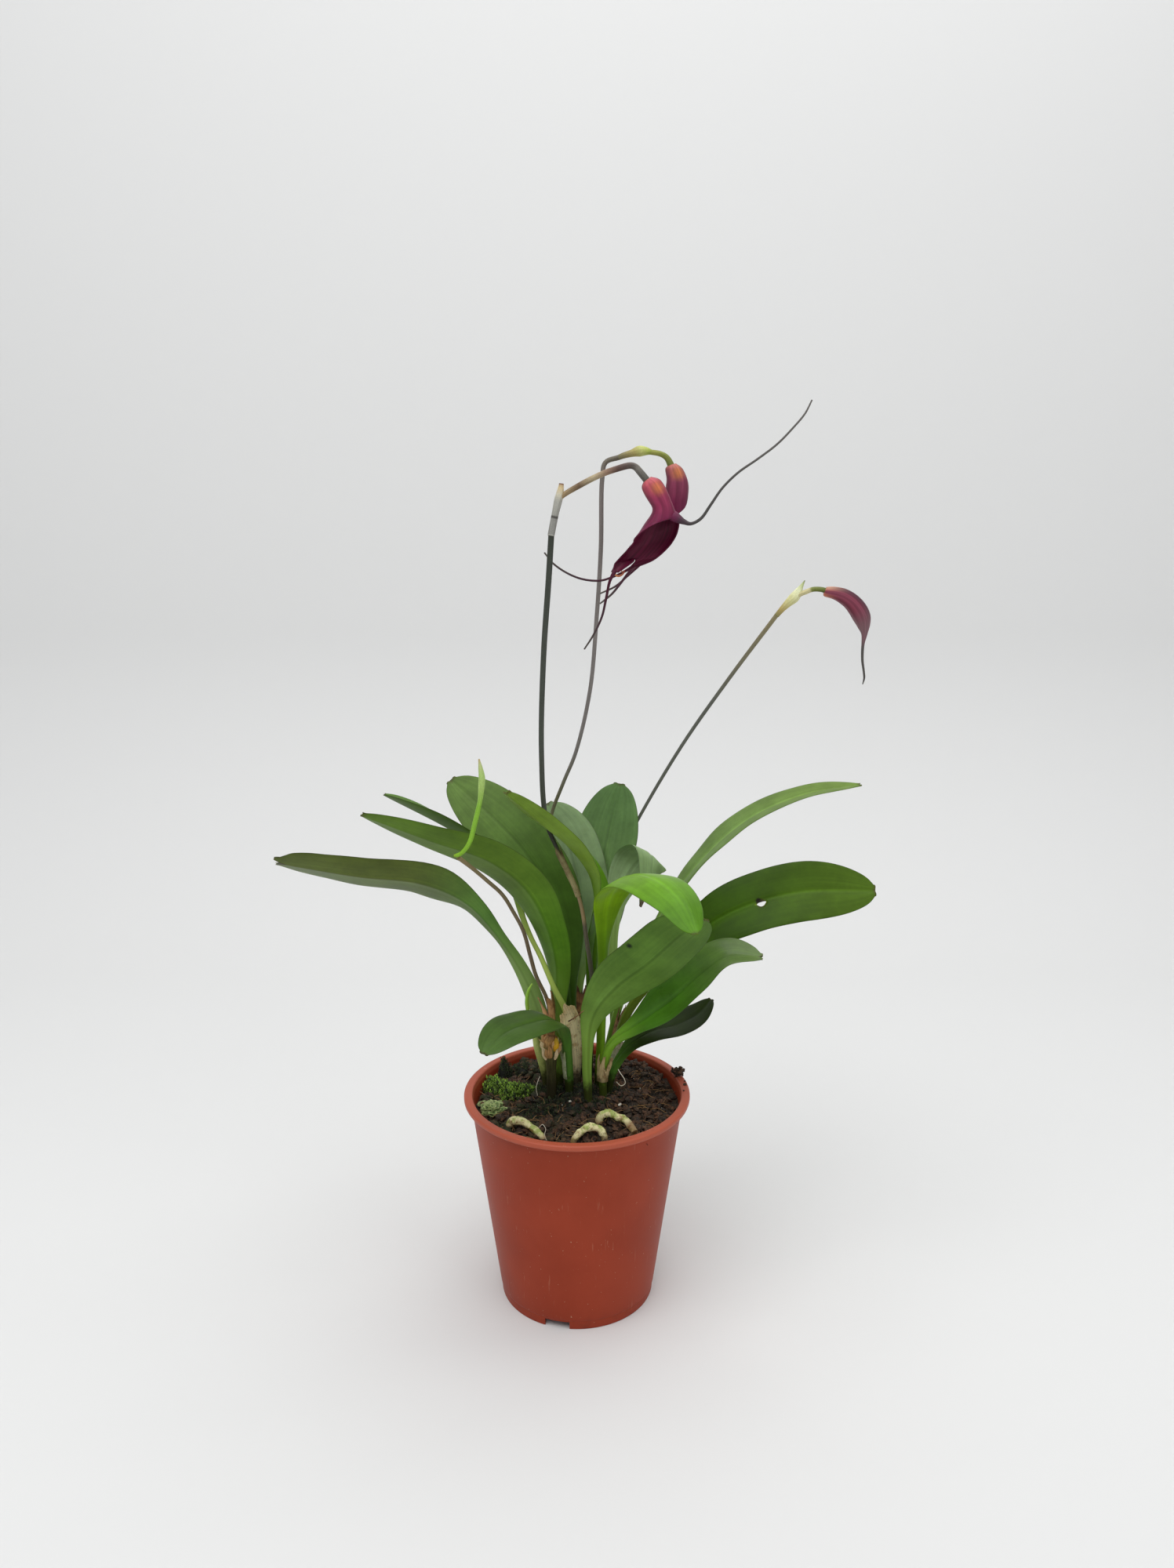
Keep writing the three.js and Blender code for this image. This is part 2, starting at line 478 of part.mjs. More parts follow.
// The leaf with a small slanted hole right through its blade
function withHole(leaf) {
  const frame = bladeFrame(leafCurve(leaf), LEAF_HOLE.at, leafSide(leaf), along(leaf.roll, LEAF_HOLE.at));
  const centre = frame.point.addScaledVector(frame.s, LEAF_HOLE.across);
  const cutter = rod(LEAF_HOLE.radius, LEAF_HOLE.length, HOLE_SIDES)
    .scale(LEAF_HOLE.stretch, 1, 1)
    .applyMatrix4(new THREE.Matrix4().makeBasis(frame.tangent, frame.s, frame.n).setPosition(centre));
  return toGeometry(toSolid(leafGeometry(leaf)).subtract(toSolid(cutter)));
}

// A stem, root, bract or sepal along route points that carry their own half widths, less `shrink`.
// Its flat side faces the front.
function strand(points, sides = STRAND_SIDES, shrink = 0) {
  const curve = curveThrough(points);
  const widths = points.map((p) => p[3] - shrink);
  const heights = points.map((p) => (p[4] ?? p[3]) - shrink);
  const steps = (points.length - 1) * STEPS_PER_POINT;
  const rings = [];
  for (let i = 0; i <= steps; i += 1) {
    const point = curve.getPoint(i / steps);
    const tangent = curve.getTangent(i / steps);
    const s = front.clone().cross(tangent).normalize();
    const n = tangent.clone().cross(s);
    const width = along(widths, i / steps);
    const height = along(heights, i / steps);
    const ring = [];
    for (let k = 0; k < sides; k += 1) {
      const angle = (2 * Math.PI * k) / sides;
      ring.push(point.clone()
        .addScaledVector(s, width * Math.cos(angle))
        .addScaledVector(n, height * Math.sin(angle)));
    }
    rings.push(ring);
  }
  return ringLoft(rings);
}

// A hollow tube joined to its sepals, which end in long tails
function flowerSolid({ tube, sepals }) {
  const firstHollow = Math.round(HOLLOW_FROM * (tube.length - 1));
  const mouth = tube[tube.length - 1];
  const inside = [...tube.slice(firstHollow), [mouth[0], mouth[1], mouth[2] - 2, mouth[3] + 0.5]];
  const hollow = toSolid(strand(inside, FLOWER_SIDES, FLOWER_WALL));
  const shell = toSolid(strand(tube, FLOWER_SIDES)).subtract(hollow);
  return wasm.Manifold.union([shell, ...sepals.map((sepal) => toSolid(strand(sepal, FLOWER_SIDES)))]);
}

// The share of a curve's length at which it reaches a height
function shareAtHeight(curve, z) {
  const samples = 400;
  for (let i = 0; i < samples; i += 1) {
    if (curve.getPointAt(i / samples).z >= z) {
      return i / samples;
    }
  }
  return 1;
}

function sheathGeometry(spec) {
  const leaf = LEAVES.find((one) => one.name === spec.on);
  const curve = leaf ? leafCurve(leaf) : curveThrough(STEMS[spec.on]);
  const foot = curve.getPointAt(0);
  const from = shareAtHeight(curve, spec.from ?? soilHeight(foot.x, foot.y) + SHEATH_FOOT);
  const to = shareAtHeight(curve, spec.top);
  const facing = new THREE.Vector3(Math.cos(toRadians(spec.facing)), Math.sin(toRadians(spec.facing)), 0);
  const rings = [];
  for (let i = 0; i < SHEATH_RINGS; i += 1) {
    const share = i / (SHEATH_RINGS - 1);
    const t = lerp(from, to, share);
    const tangent = curve.getTangentAt(t);
    const e1 = facing.clone().addScaledVector(tangent, -facing.dot(tangent)).normalize();
    const e2 = tangent.clone().cross(e1);
    const inner = along(spec.inner, share);
    const rim = (k, radius) => {
      const side = k / (SHEATH_POINTS - 1) - 0.5;
      const angle = toRadians(spec.wrap) * side;
      const jag = (spec.teeth ?? SHEATH_TEETH) * Math.cos(2.4 * k);
      const ragged = share < 1 ? 0 : jag - (spec.arch ?? SHEATH_ARCH) * Math.abs(side);
      return curve.getPointAt(t)
        .addScaledVector(e1, radius * Math.cos(angle) - Math.max(inner - spec.snug, 0))
        .addScaledVector(e2, radius * Math.sin(angle))
        .addScaledVector(tangent, ragged);
    };
    const ring = [];
    for (let k = 0; k < SHEATH_POINTS; k += 1) {
      ring.push(rim(k, inner + SHEATH_THICKNESS));
    }
    for (let k = SHEATH_POINTS - 1; k >= 0; k -= 1) {
      ring.push(rim(k, inner));
    }
    rings.push(ring);
  }
  return ringLoft(rings);
}

function potSolid() {
  const outline = POT_OUTLINE.map(([r, z]) => new THREE.Vector2(r, z));
  const turned = new THREE.LatheGeometry([...outline, outline[0]], POT_SIDES).rotateX(Math.PI / 2);
  const cuts = [];
  for (let i = 0; i < DRAIN_HOLE_COUNT; i += 1) {
    cuts.push(rod(DRAIN_HOLE_RADIUS, CUTTER_LENGTH, DRAIN_HOLE_SIDES)
      .translate(DRAIN_HOLE_CIRCLE, 0, 0)
      .rotateZ(toRadians((360 * i) / DRAIN_HOLE_COUNT)));
  }
  for (let i = 0; i < NOTCH_COUNT; i += 1) {
    cuts.push(new THREE.BoxGeometry(NOTCH_DEPTH, NOTCH_WIDTH, 2 * NOTCH_HEIGHT)
      .translate(FOOT_RING_RADIUS, 0, 0)
      .rotateZ(toRadians(FIRST_NOTCH_ANGLE + (360 * i) / NOTCH_COUNT)));
  }
  return toSolid(turned).subtract(wasm.Manifold.union(cuts.map(toSolid)));
}

function innerRadius(z) {
  const share = (z - FLOOR_TOP) / (INNER_TOP_HEIGHT - FLOOR_TOP);
  return lerp(INNER_FOOT_RADIUS, INNER_TOP_RADIUS, share) - GAP;
}

// Higher around the stems and against the right of the rim, lower at the front
function soilHeight(x, y) {
  const hill = (cx, cy, spread) => Math.exp(-((x - cx) ** 2 + (y - cy) ** 2) / (2 * spread * spread));
  return SOIL_LEVEL + 0.8 * Math.sin(0.31 * x + 0.7) * Math.cos(0.27 * y - 0.4)
    + 0.45 * Math.sin(0.6 * x - 0.5 * y)
    + 2 * hill(31, 14, 12) + 1.2 * hill(3, 6, 15)
    + 3.6 * smoothstep(y, 6, 32) - 1.8 * smoothstep(-y, 20, 36);
}

// The substrate as one plug, before its stem holes
function plugGeometry() {
  const rings = [];
  [0, ...SOIL_RINGS].forEach((share) => {
    const ring = [];
    for (let k = 0; k < POT_SIDES; k += 1) {
      const angle = (2 * Math.PI * k) / POT_SIDES;
      const [c, s] = [Math.cos(angle), Math.sin(angle)];
      const edge = share > 0 ? soilHeight(RIM_REACH * c, RIM_REACH * s) : FLOOR_TOP + GAP;
      const radius = innerRadius(Math.min(edge, INNER_TOP_HEIGHT)) * (share || 1);
      const height = share > 0 && share < 1 ? soilHeight(radius * c, radius * s) : edge;
      ring.push(new THREE.Vector3(radius * c, radius * s, height));
    }
    rings.push(ring);
  });
  return ringLoft(rings);
}

function stemHoles() {
  const stems = [
    ...LEAVES.map(({ foot: [x, y] }) => [x, y, STEM_RADIUS]),
    ...[...Object.values(STEMS), YOUNG_SHOOT, OLD_STEM].map(([[x, y, , radius]]) => [x, y, radius]),
  ];
  const middle = SOIL_LEVEL - STEM_DEPTH - GAP + HOLE_LENGTH / 2;
  return wasm.Manifold.union(stems.map(([x, y, radius]) => {
    return toSolid(rod(radius + HOLE_CLEARANCE, HOLE_LENGTH, HOLE_SIDES).translate(x, y, middle));
  }));
}

// A ball with low waves over it, `relief` high, and flattened to its radii
function lumpSolid({ centre, radii, detail, relief }) {
  const ball = new THREE.IcosahedronGeometry(1, detail);
  const place = ball.attributes.position;
  const p = new THREE.Vector3();
  for (let i = 0; i < place.count; i += 1) {
    p.fromBufferAttribute(place, i);
    const coarse = Math.sin(7 * p.x + 3 * p.y) * Math.cos(6 * p.y - 4 * p.z);
    const fine = 0.6 * Math.sin(11 * p.x - 9 * p.y);
    const size = 1 + relief * (coarse + fine);
    place.setXYZ(i, centre[0] + radii[0] * size * p.x, centre[1] + radii[1] * size * p.y,
      centre[2] + radii[2] * size * p.z);
  }
  return toSolid(ball);
}

const plant = new THREE.Group();

function add(name, geometry, color, roughness) {
  const material = new THREE.MeshStandardMaterial({ color, roughness, metalness: 0 });
  const mesh = new THREE.Mesh(geometry, material);
  mesh.name = name;
  plant.add(mesh);
}

const pot = toGeometry(potSolid());
const plug = plugGeometry();
const moved = (geometry, x, y, z) => toSolid(geometry.clone().translate(x, y, z));
// What lies on the substrate or the rim stays a small gap above it and inside the wall
const raised = wasm.Manifold.union([
  moved(plug, 0, 0, GAP), moved(pot, 0, 0, GAP), moved(pot, -GAP, -GAP, 0), moved(pot, GAP, GAP, 0),
]);
const settle = (solid) => toGeometry(largestPiece(solid.subtract(raised)));

add('pot', pot, POT_BROWN, 0.5);
add('substrate', toGeometry(toSolid(plug).subtract(stemHoles())), SOIL_BROWN, 0.95);
Object.entries(LUMPS).forEach(([name, lump]) => add(name, settle(lumpSolid(lump)), lump.color, 0.95));
Object.entries(ROOTS).forEach(([name, route]) => {
  add(name, settle(toSolid(strand(route, FLOWER_SIDES))), ROOT_CREAM, 0.7);
});

LEAVES.forEach((leaf) => {
  const geometry = leaf.name === LEAF_HOLE.leaf ? withHole(leaf) : leafGeometry(leaf);
  const color = leaf.name === 'leaf_young_arching' ? YOUNG_GREEN : LEAF_GREEN;
  add(leaf.name, geometry, color, 0.45);
});
add('young_shoot', strand(YOUNG_SHOOT), YOUNG_GREEN, 0.5);
add('old_stem', strand(OLD_STEM), PAPER_TAN, 0.8);
SHEATHS.forEach((spec) => add(spec.name, sheathGeometry(spec), PAPER_TAN, 0.8));

Object.entries(STEMS).forEach(([name, route]) => add(name, strand(route), STEM_GREY, 0.6));
Object.entries(BRACTS).forEach(([name, route]) => add(name, strand(route), PAPER_TAN, 0.7));
Object.entries(PEDICELS).forEach(([name, route]) => add(name, strand(route), STEM_GREY, 0.6));
add('bud_green', strand(BUD_GREEN), YOUNG_GREEN, 0.5);
add('flower_bud', strand(FLOWER_BUD, FLOWER_SIDES), FLOWER_RED, 0.4);
Object.entries(FLOWERS).forEach(([name, flower]) => {
  add(name, toGeometry(largestPiece(flowerSolid(flower))), FLOWER_RED, 0.4);
});

export default plant;
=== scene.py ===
"""The looks of a potted masdevallia orchid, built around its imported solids.

Routes and sizes are in millimetres, in the frame of the solids, and become metres in the meshes.
"""

import math
import random

import bpy
import numpy as np
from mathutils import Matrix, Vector, noise


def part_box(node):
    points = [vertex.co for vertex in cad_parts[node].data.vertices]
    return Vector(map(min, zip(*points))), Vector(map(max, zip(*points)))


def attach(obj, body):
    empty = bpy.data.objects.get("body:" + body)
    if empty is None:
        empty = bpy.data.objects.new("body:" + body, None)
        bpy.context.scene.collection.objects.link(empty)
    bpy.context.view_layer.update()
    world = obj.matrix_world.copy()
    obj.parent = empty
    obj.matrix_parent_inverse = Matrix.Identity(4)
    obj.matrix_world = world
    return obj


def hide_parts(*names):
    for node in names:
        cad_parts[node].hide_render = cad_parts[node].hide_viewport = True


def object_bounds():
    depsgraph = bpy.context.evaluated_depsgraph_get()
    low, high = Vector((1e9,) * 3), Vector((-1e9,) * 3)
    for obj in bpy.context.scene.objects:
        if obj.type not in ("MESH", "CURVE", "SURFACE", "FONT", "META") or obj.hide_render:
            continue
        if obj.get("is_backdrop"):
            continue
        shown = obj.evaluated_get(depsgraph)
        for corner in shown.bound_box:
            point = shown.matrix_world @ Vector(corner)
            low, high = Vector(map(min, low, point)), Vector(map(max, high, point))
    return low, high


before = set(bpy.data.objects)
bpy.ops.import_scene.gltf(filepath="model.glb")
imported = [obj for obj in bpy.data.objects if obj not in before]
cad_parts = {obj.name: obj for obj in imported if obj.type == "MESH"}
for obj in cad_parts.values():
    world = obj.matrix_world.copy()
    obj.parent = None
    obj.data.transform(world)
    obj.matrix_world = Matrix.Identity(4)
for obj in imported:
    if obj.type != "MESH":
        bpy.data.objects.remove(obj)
cad_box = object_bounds()

MM = 0.001
SEED = 11
UP = np.array([0.0, 0.0, 1.0])
FRONT = np.array([0.0, -1.0, 0.0])

# The photograph's focal length and height in pixels
FOCAL_PIXELS = 1503
FRAME_PIXELS = 2000

# Pot: outline as radius and height
POT_OUTLINE = [
    (29.6, 0), (30.8, 0), (31.05, 3.8), (31.4, 4.2), (42.3, 83.6), (44.6, 83.6), (45, 84.2), (45, 85.6),
    (44.4, 86), (42.1, 86), (41.6, 85.6), (41.2, 83.5), (30.2, 5.5), (4, 5.5), (4, 4), (29.6, 4),
]
POT_SIDES = 144
POT_SHARP = 40
NOTCH_ANGLES = (-104.5, 15.5, 135.5)
NOTCH_WIDTH = 10
NOTCH_HEIGHT = 3.2
DRAIN_HOLES = 6
DRAIN_HOLE_RADIUS = 3
DRAIN_HOLE_CIRCLE = 20
INNER_FOOT = (30.2, 5.5)
INNER_TOP = (41.2, 83.5)

# Filling and stems
SOIL_LEVEL = 79
HEAP = 4.2
STEM_DEPTH = 12
STEM_RADIUS = 1.6
THINNEST = 0.12
GAP = 0.3

# Leaves
BLADE_HALF_THICKNESS = 0.75
TIP_HALF_THICKNESS = 0.4
FOLD_SOFTNESS = 1.5
TIP_CROWDING = 1.4
LEAF_RINGS = 72
BLADE_PROFILE = (0, 0.1, 0.38, 0.74, 0.96, 1, 1, 0.95, 0.88)
TIP_WIDTH = 0.2
# Half width and half thickness of a petiole just below its blade
STALK = (2, 1.6)
TIP_NOTCH_FROM = 0.955
# How far the tip's end is set back, from the rib to the margin
NOTCH_SHAPE = ((0, 0.35, 0.6, 0.8, 1), (1, 0.25, 0, 0.1, 0.5))
# Where the section's points lie across half a blade
SECTION = (0, 0.035, 0.08, 0.15, 0.26, 0.4, 0.55, 0.7, 0.83, 0.93, 0.985)

# Tones: upper side, underside, petiole, upper side at the tip and underside at the blade's foot.
# A leaf rises at `foot` and follows its route. Its blade begins at the share `blade_from` of its
# length, and the tip at the share `tip_from` of the blade. Roll and fold are in degrees.
LEAVES = {
    "leaf_far_left": dict(
        tones="#3c5a22 #58662a #86a45a #4c5c2c #5a8238", bloom_and_sheen=0.75,
        foot=(-11.7, 14.9),
        route=[(-12.5, 14, 94), (-15, 13, 112), (-21.5, 11, 131), (-31.3, 8, 148.5), (-43, 5, 163),
               (-60, 3, 171.4), (-84, 1, 174.8), (-116, 0, 180.5)],
        half_width=11.5, blade_from=0.3, roll=(80, 78, 56, 46, 36), fold=9, tip_from=0.86, stalk=(3.6, 1.1),
        profile=(0, -0.06, -0.1, 0.3, 1, 1, 1, 0.95, 0.88), notch=4.5, tip_width=0.42, notch_from=0.93),
    "leaf_left_upper": dict(
        tones="#576b28 #597826 #6f9034 #576b28 #54801f", bloom_and_sheen=0.25,
        foot=(-7.2, 7.6),
        route=[(-7.4, 8.2, 98), (-7.6, 10, 115), (-7.5, 7.5, 135), (-11.5, 1, 155), (-19, -6, 172),
               (-32, -12, 184.5), (-53, -18, 194), (-77, -24, 205)],
        half_width=10.3, blade_from=0.2, roll=(0, 20, 42, 42, 30), fold=9, tip_from=0.64,
        profile=(0, 0.26, 0.5, 0.68, 0.88, 1, 1, 0.95, 0.88), notch=0.8),
    "leaf_left_narrow": dict(
        tones="#456a20 #4f7020 #a9bd5c #50702a #4f7020",
        foot=(-1.5, 10.5),
        route=[(-1.5, 8.5, 99), (-4.3, 4.5, 117), (-9, 2.8, 128), (-14, 4, 140), (-21, 7, 155),
               (-26, 10, 168), (-34, 12, 179), (-46, 14, 188), (-76, 18, 203)],
        half_width=7.5, blade_from=0.45, roll=(0, 10, 25, 25, 10), fold=24, tip_from=0.8,
        stalk=(1, 1), notch=0.8),
    "leaf_left_broad": dict(
        tones="#3d5a1c #4f7a2e #375414 #5a7436 #4f7a2e",
        foot=(-2, 17),
        route=[(-2, 17.5, 98), (-3, 19, 120), (-5, 22, 141), (-11, 26, 159), (-21, 31, 175),
               (-34, 37, 188), (-53, 45, 203)],
        half_width=13.5, blade_from=0.25, roll=(-10, -30, -40, -40, -35), fold=10, tip_from=0.76, notch=0.8),
    "leaf_twisted": dict(
        tones="#588418 #769434 #39560e #6f8a36 #5a8618",
        foot=(4.5, 11),
        route=[(5, 9, 102), (5.5, 7.5, 123), (6, 6, 142), (8, 4, 157), (6, 1, 174), (-2.5, -6, 188.5),
               (-13.5, -12, 199.5), (-25.5, -18, 212)],
        half_width=10.8, blade_from=0.35, roll=(-60, -85, -90, -20, 15), fold=16, tip_from=0.48, notch=0.6),
    "leaf_back_rounded": dict(
        tones="#71885e #5d8040 #7f9d48 #71885e #5d8040",
        foot=(1, 24),
        route=[(0.5, 25.5, 95), (0, 28, 118), (0.8, 32, 140), (0, 37, 161), (-5, 43, 178), (-13, 50, 192)],
        half_width=13, blade_from=0.34, roll=(-10, -15, -20, -20, -15), fold=6, tip_from=0.76, notch=0.8),
    "leaf_back_upright": dict(
        tones="#65824c #648648 #97ab64 #54733f #648648",
        foot=(10, 26.5),
        route=[(10, 27, 94), (9, 31, 117), (9, 36, 139), (9.5, 42, 161), (13, 49, 180), (18, 57, 199)],
        half_width=13.5, blade_from=0.34, roll=(0, 0, 0, 0, 0), fold=8, tip_from=0.74, notch=0.6),
    # Its underside tone is lighter than its upper side's: painted light on the shade under its arch.
    "leaf_back_small": dict(
        tones="#86a06b #9fb888 #8eac5a #6f8858 #9fb888",
        foot=(15.5, 24.5),
        route=[(15.5, 25, 96), (15, 26.5, 119), (15, 28, 142), (18, 30, 161), (25, 28, 173.5),
               (29.5, 19, 177.5), (28.5, 11, 170), (25, 7, 160)],
        half_width=10, blade_from=0.52, roll=(0, 0, -5, -38, -40), fold=-10, tip_from=0.6,
        wave=2.2, notch=0.8),
    "leaf_young_arching": dict(
        tones="#6f9a28 #86b020 #6c9420 #568420 #86b020", gloss=0.34, rib=0.16,
        foot=(8.5, 7),
        route=[(9.5, 6, 103), (10, 3, 128), (10.5, -2, 152), (12.5, -8, 169.5), (19, -20, 180.5),
               (28, -34, 183.5), (36, -46.5, 179.5), (40.6, -57.2, 171.5)],
        half_width=10.5, blade_from=0.42, roll=(0, 0, 0, 5, 5), fold=-14, tip_from=0.66, notch=0.3,
        tip_width=0.12),
    "leaf_right_narrow": dict(
        tones="#668044 #668c38 #74993a #667f38 #668c38", rib=0.3,
        foot=(10.5, 19.5),
        route=[(13, 19, 96), (18, 20, 116), (27, 22, 136), (37, 24, 155), (50, 26, 173), (69, 28, 190),
               (92, 30, 200), (115, 31, 204)],
        half_width=8, blade_from=0.35, roll=(0, 0, 6, 8, 5), fold=14, tip_from=0.7, notch=1.0),
    "leaf_right_large": dict(
        tones="#324e06 #557a2c #5d7020 #476118 #557a2c", rib=0.3,
        foot=(12, 10.5),
        route=[(14.5, 11, 95), (20, 11, 113), (30, 9, 129), (42, 7, 144), (60, 5, 158), (85, 3, 167),
               (116, 3, 168)],
        half_width=12, blade_from=0.33, roll=(0, 20, 45, 55, 55), fold=8, tip_from=0.76, notch=0.4),
    "leaf_front_broad": dict(
        tones="#64853a #587b30 #7c9f42 #3c5a1a #65873a", rib=-0.28,
        foot=(4.5, -3.5),
        route=[(4, -4, 100), (6, -7, 120), (15, -13, 135), (27, -21, 148), (38, -30, 162), (46, -36, 170)],
        half_width=12, blade_from=0.28, roll=(-10, -30, -50, -50, -45), fold=6, tip_from=0.8, notch=0.8),
    "leaf_front_glossy": dict(
        tones="#43701a #4d7d2e #7aa832 #576e38 #4d7d2e", gloss=0.3,
        foot=(10.5, 0.5),
        route=[(10.5, 0, 93), (13.5, -2, 106), (24, -5, 116), (37, -8, 127.5), (48, -10, 139),
               (58, -12, 147), (70.5, -14, 147)],
        half_width=9.6, blade_from=0.3, roll=(0, 20, 42, 40, 15), fold=20, wave=1.6, tip_from=0.6, notch=1.4),
    "leaf_right_dark": dict(
        tones="#27350e #3f6028 #54802f #27350e #3f6028",
        foot=(12.4, 5),
        route=[(14, 5, 90), (16.9, 4.8, 96.5), (22, 4.4, 103.6), (30, 6, 108), (40, 10, 109), (49, 14, 112),
               (55, 18, 117)],
        half_width=9, blade_from=0.33, roll=(0, 5, 8, 8, 8), fold=8, tip_from=0.62, notch=0.4),
    "leaf_left_small": dict(
        tones="#476128 #4b6d33 #578433 #4a6430 #4b6d33", gloss=0.36,
        foot=(-3, 1.5),
        route=[(-3.6, 0, 99), (-4.6, -3, 110), (-9, -9, 119), (-19, -20, 122.3), (-27, -30, 122.8),
               (-33.5, -39, 119.4)],
        half_width=10.2, blade_from=0.36, roll=(0, -5, -8, -8, -8), fold=4, tip_from=0.62, notch=0.5),
}
LEAF_HOLE = dict(leaf="leaf_right_large", at=0.73, across=-1, radius=1.1, stretch=1.7)
# Marks on leaves: share of the length, mm from the rib, reach and tone
LEAF_MARKS = {
    "leaf_right_large": [(0.73, -1, 2.6, "#3a2f1c"), (0.725, 0.6, 1.6, "#1e1a12"), (0.55, 5, 0.8, "#8a8f3a")],
    "leaf_front_broad": [(0.744, -10.2, 1.9, "#1a2216")],
    "leaf_back_small": [(1, 0, 5.5, "#5b4a2e")],
}

# Routes of stems: x, y, z and half width, then half thickness where flat
STEMS = {
    "peduncle_tall": [
        (4, 2.8, 67, 1), (4, 2.8, 82, 1), (6, 0, 116, 0.95), (6, -2, 133, 0.9), (4, -3.5, 149, 0.85),
        (1.1, -4.5, 167, 0.75), (-7, -1, 185, 0.75), (-11.5, 1.5, 196, 0.95), (-13.2, 3, 222, 1),
        (-12.1, 2, 259, 1.05), (-10, 1, 287, 1.1), (-8.9, 0, 303, 1.1)],
    "peduncle_thin": [
        (-5.5, 21, 67, 1), (-5.5, 21, 82, 1), (-5.8, 22, 100, 0.85), (-6.5, 24.5, 125, 0.8),
        (-8, 28.5, 150, 0.75), (-10, 33.5, 165, 0.75), (-11.3, 39, 180, 0.75), (-10.9, 40, 188.5, 0.75),
        (-5.8, 36, 203.4, 0.75), (-0.4, 32, 217.5, 0.78), (5.2, 27, 243, 0.8), (7.6, 21, 270.5, 0.82),
        (9.2, 16, 297.8, 0.85), (9.6, 12, 323.3, 0.85), (10.8, 12, 328.9, 0.9), (15.9, 12, 330.8, 0.95)],
    "peduncle_right": [
        (9, 31, 67, 1), (9, 31, 82, 1), (9, 34, 105, 0.85), (10, 39, 128, 0.8), (12, 45, 148, 0.75),
        (16.2, 48, 165.4, 0.7), (25.2, 51, 183.6, 0.7), (43.5, 46, 217.6, 0.75), (61.4, 39, 246.2, 0.8),
        (78.3, 31, 271.9, 0.9)],
    "peduncle_budding": [
        (-11.3, 6.3, 67, 1), (-11.3, 6.3, 82, 1), (-11, 6, 104, 0.85), (-11, 5.2, 117, 0.8),
        (-12.2, 5, 123, 0.8), (-16.1, 4, 132.5, 0.8), (-18.2, 2.2, 141.5, 0.8), (-20.7, -1, 153, 0.75),
        (-24.2, -4, 161.6, 0.75), (-28, -8.5, 170, 0.75), (-33, -14, 177, 0.75), (-38.3, -21, 184.4, 0.75),
        (-42.3, -26.3, 189.6, 0.85)],
}

PEDICELS = {
    "pedicel_tall": [
        (-6, -0.4, 315.4, 0.7), (-4.8, -0.2, 316.7, 0.9), (1.5, -1, 320.4, 1.05), (8.5, -2.5, 323.8, 1.05),
        (14.2, -3.5, 325.8, 1.1), (19.6, -4, 327, 1.15), (21.4, -4, 326.3, 1.2), (22.5, -4, 325.1, 1.25),
        (24.9, -4, 322.3, 1.3), (25.5, -4, 321.5, 1.3)],
    "pedicel_thin": [
        (26.6, 12, 332.7, 0.95), (31, 12, 331.9, 1), (33.2, 12, 330.6, 1.1), (34.7, 12, 328, 1.3),
        (34.9, 12, 327.4, 1.3)],
    "pedicel_right": [
        (84.6, 28.9, 278.6, 0.8), (86.7, 28.5, 280.2, 0.95), (89.2, 28, 281.3, 0.95),
        (91.5, 27.5, 282.2, 0.95), (94.7, 26.7, 282.2, 1), (97.2, 26.1, 281.4, 1.15)],
}

BUD_GREEN = [
    (-43.7, -27, 190.4, 0.5), (-42.6, -27.1, 190.6, 0.75), (-41, -27.5, 191.5, 0.75),
    (-38.8, -28, 194.1, 0.8), (-37.4, -28, 197, 0.85), (-36.5, -28, 200.3, 0.9), (-35.2, -28, 205.5, 0.9),
    (-33.9, -28, 211, 0.85), (-33.3, -28, 216, 1.15), (-33.1, -28, 219.3, 1.15), (-33.5, -28, 222.7, 0.8),
    (-34, -28, 226, 0.3)]

FLOWER_BUD = [
    (95.8, 26, 281.5, 1.2), (96.1, 26, 281.4, 1.8), (97.3, 26, 281.2, 2.1), (99.6, 26, 280.8, 2.4),
    (102.8, 26, 279.7, 2.9), (106.2, 26, 277.5, 3.25), (108.9, 26, 274.5, 3.5), (110.7, 26, 271.3, 3.35),
    (111.6, 26, 268.1, 2.4), (112, 26, 265.2, 1.24), (111.7, 26, 261.6, 0.65), (111.6, 26, 258.4, 0.56),
    (111.8, 26, 254.5, 0.5), (112.5, 26, 250.5, 0.44), (112.8, 26, 247.9, 0.4), (112.3, 26, 245.4, 0.2)]

YOUNG_SHOOT = [
    (-12.9, 9.3, 67, 1.2), (-12.9, 9.3, 84, 1.3), (-13.9, 9.2, 92, 1.7), (-16, 9, 100, 1.6),
    (-17.4, 8.6, 107, 1), (-19.5, 8, 115, 0.8), (-20.1, 7.8, 120.5, 0.75), (-19.3, 7.5, 125, 0.6),
    (-17.9, 7.5, 127.8, 0.3)]
OLD_STEM = [
    (-10.2, -0.4, 67, 1.9), (-10.2, -0.4, 82, 1.9), (-10.2, -0.4, 96, 2), (-10.3, -0.4, 100.5, 2.5),
    (-10.3, -0.4, 104, 3.1), (-10.3, -0.4, 107.5, 2.9), (-10.2, -0.4, 109.5, 1.6)]
KNOT_BUD = [
    (-8.9, -2.6, 103.6, 0.5), (-8.5, -3.1, 105.2, 1.15), (-8.2, -3.2, 106.8, 1.25), (-8.1, -2.9, 108.6, 0.7),
    (-8.2, -2.6, 109.7, 0.15)]

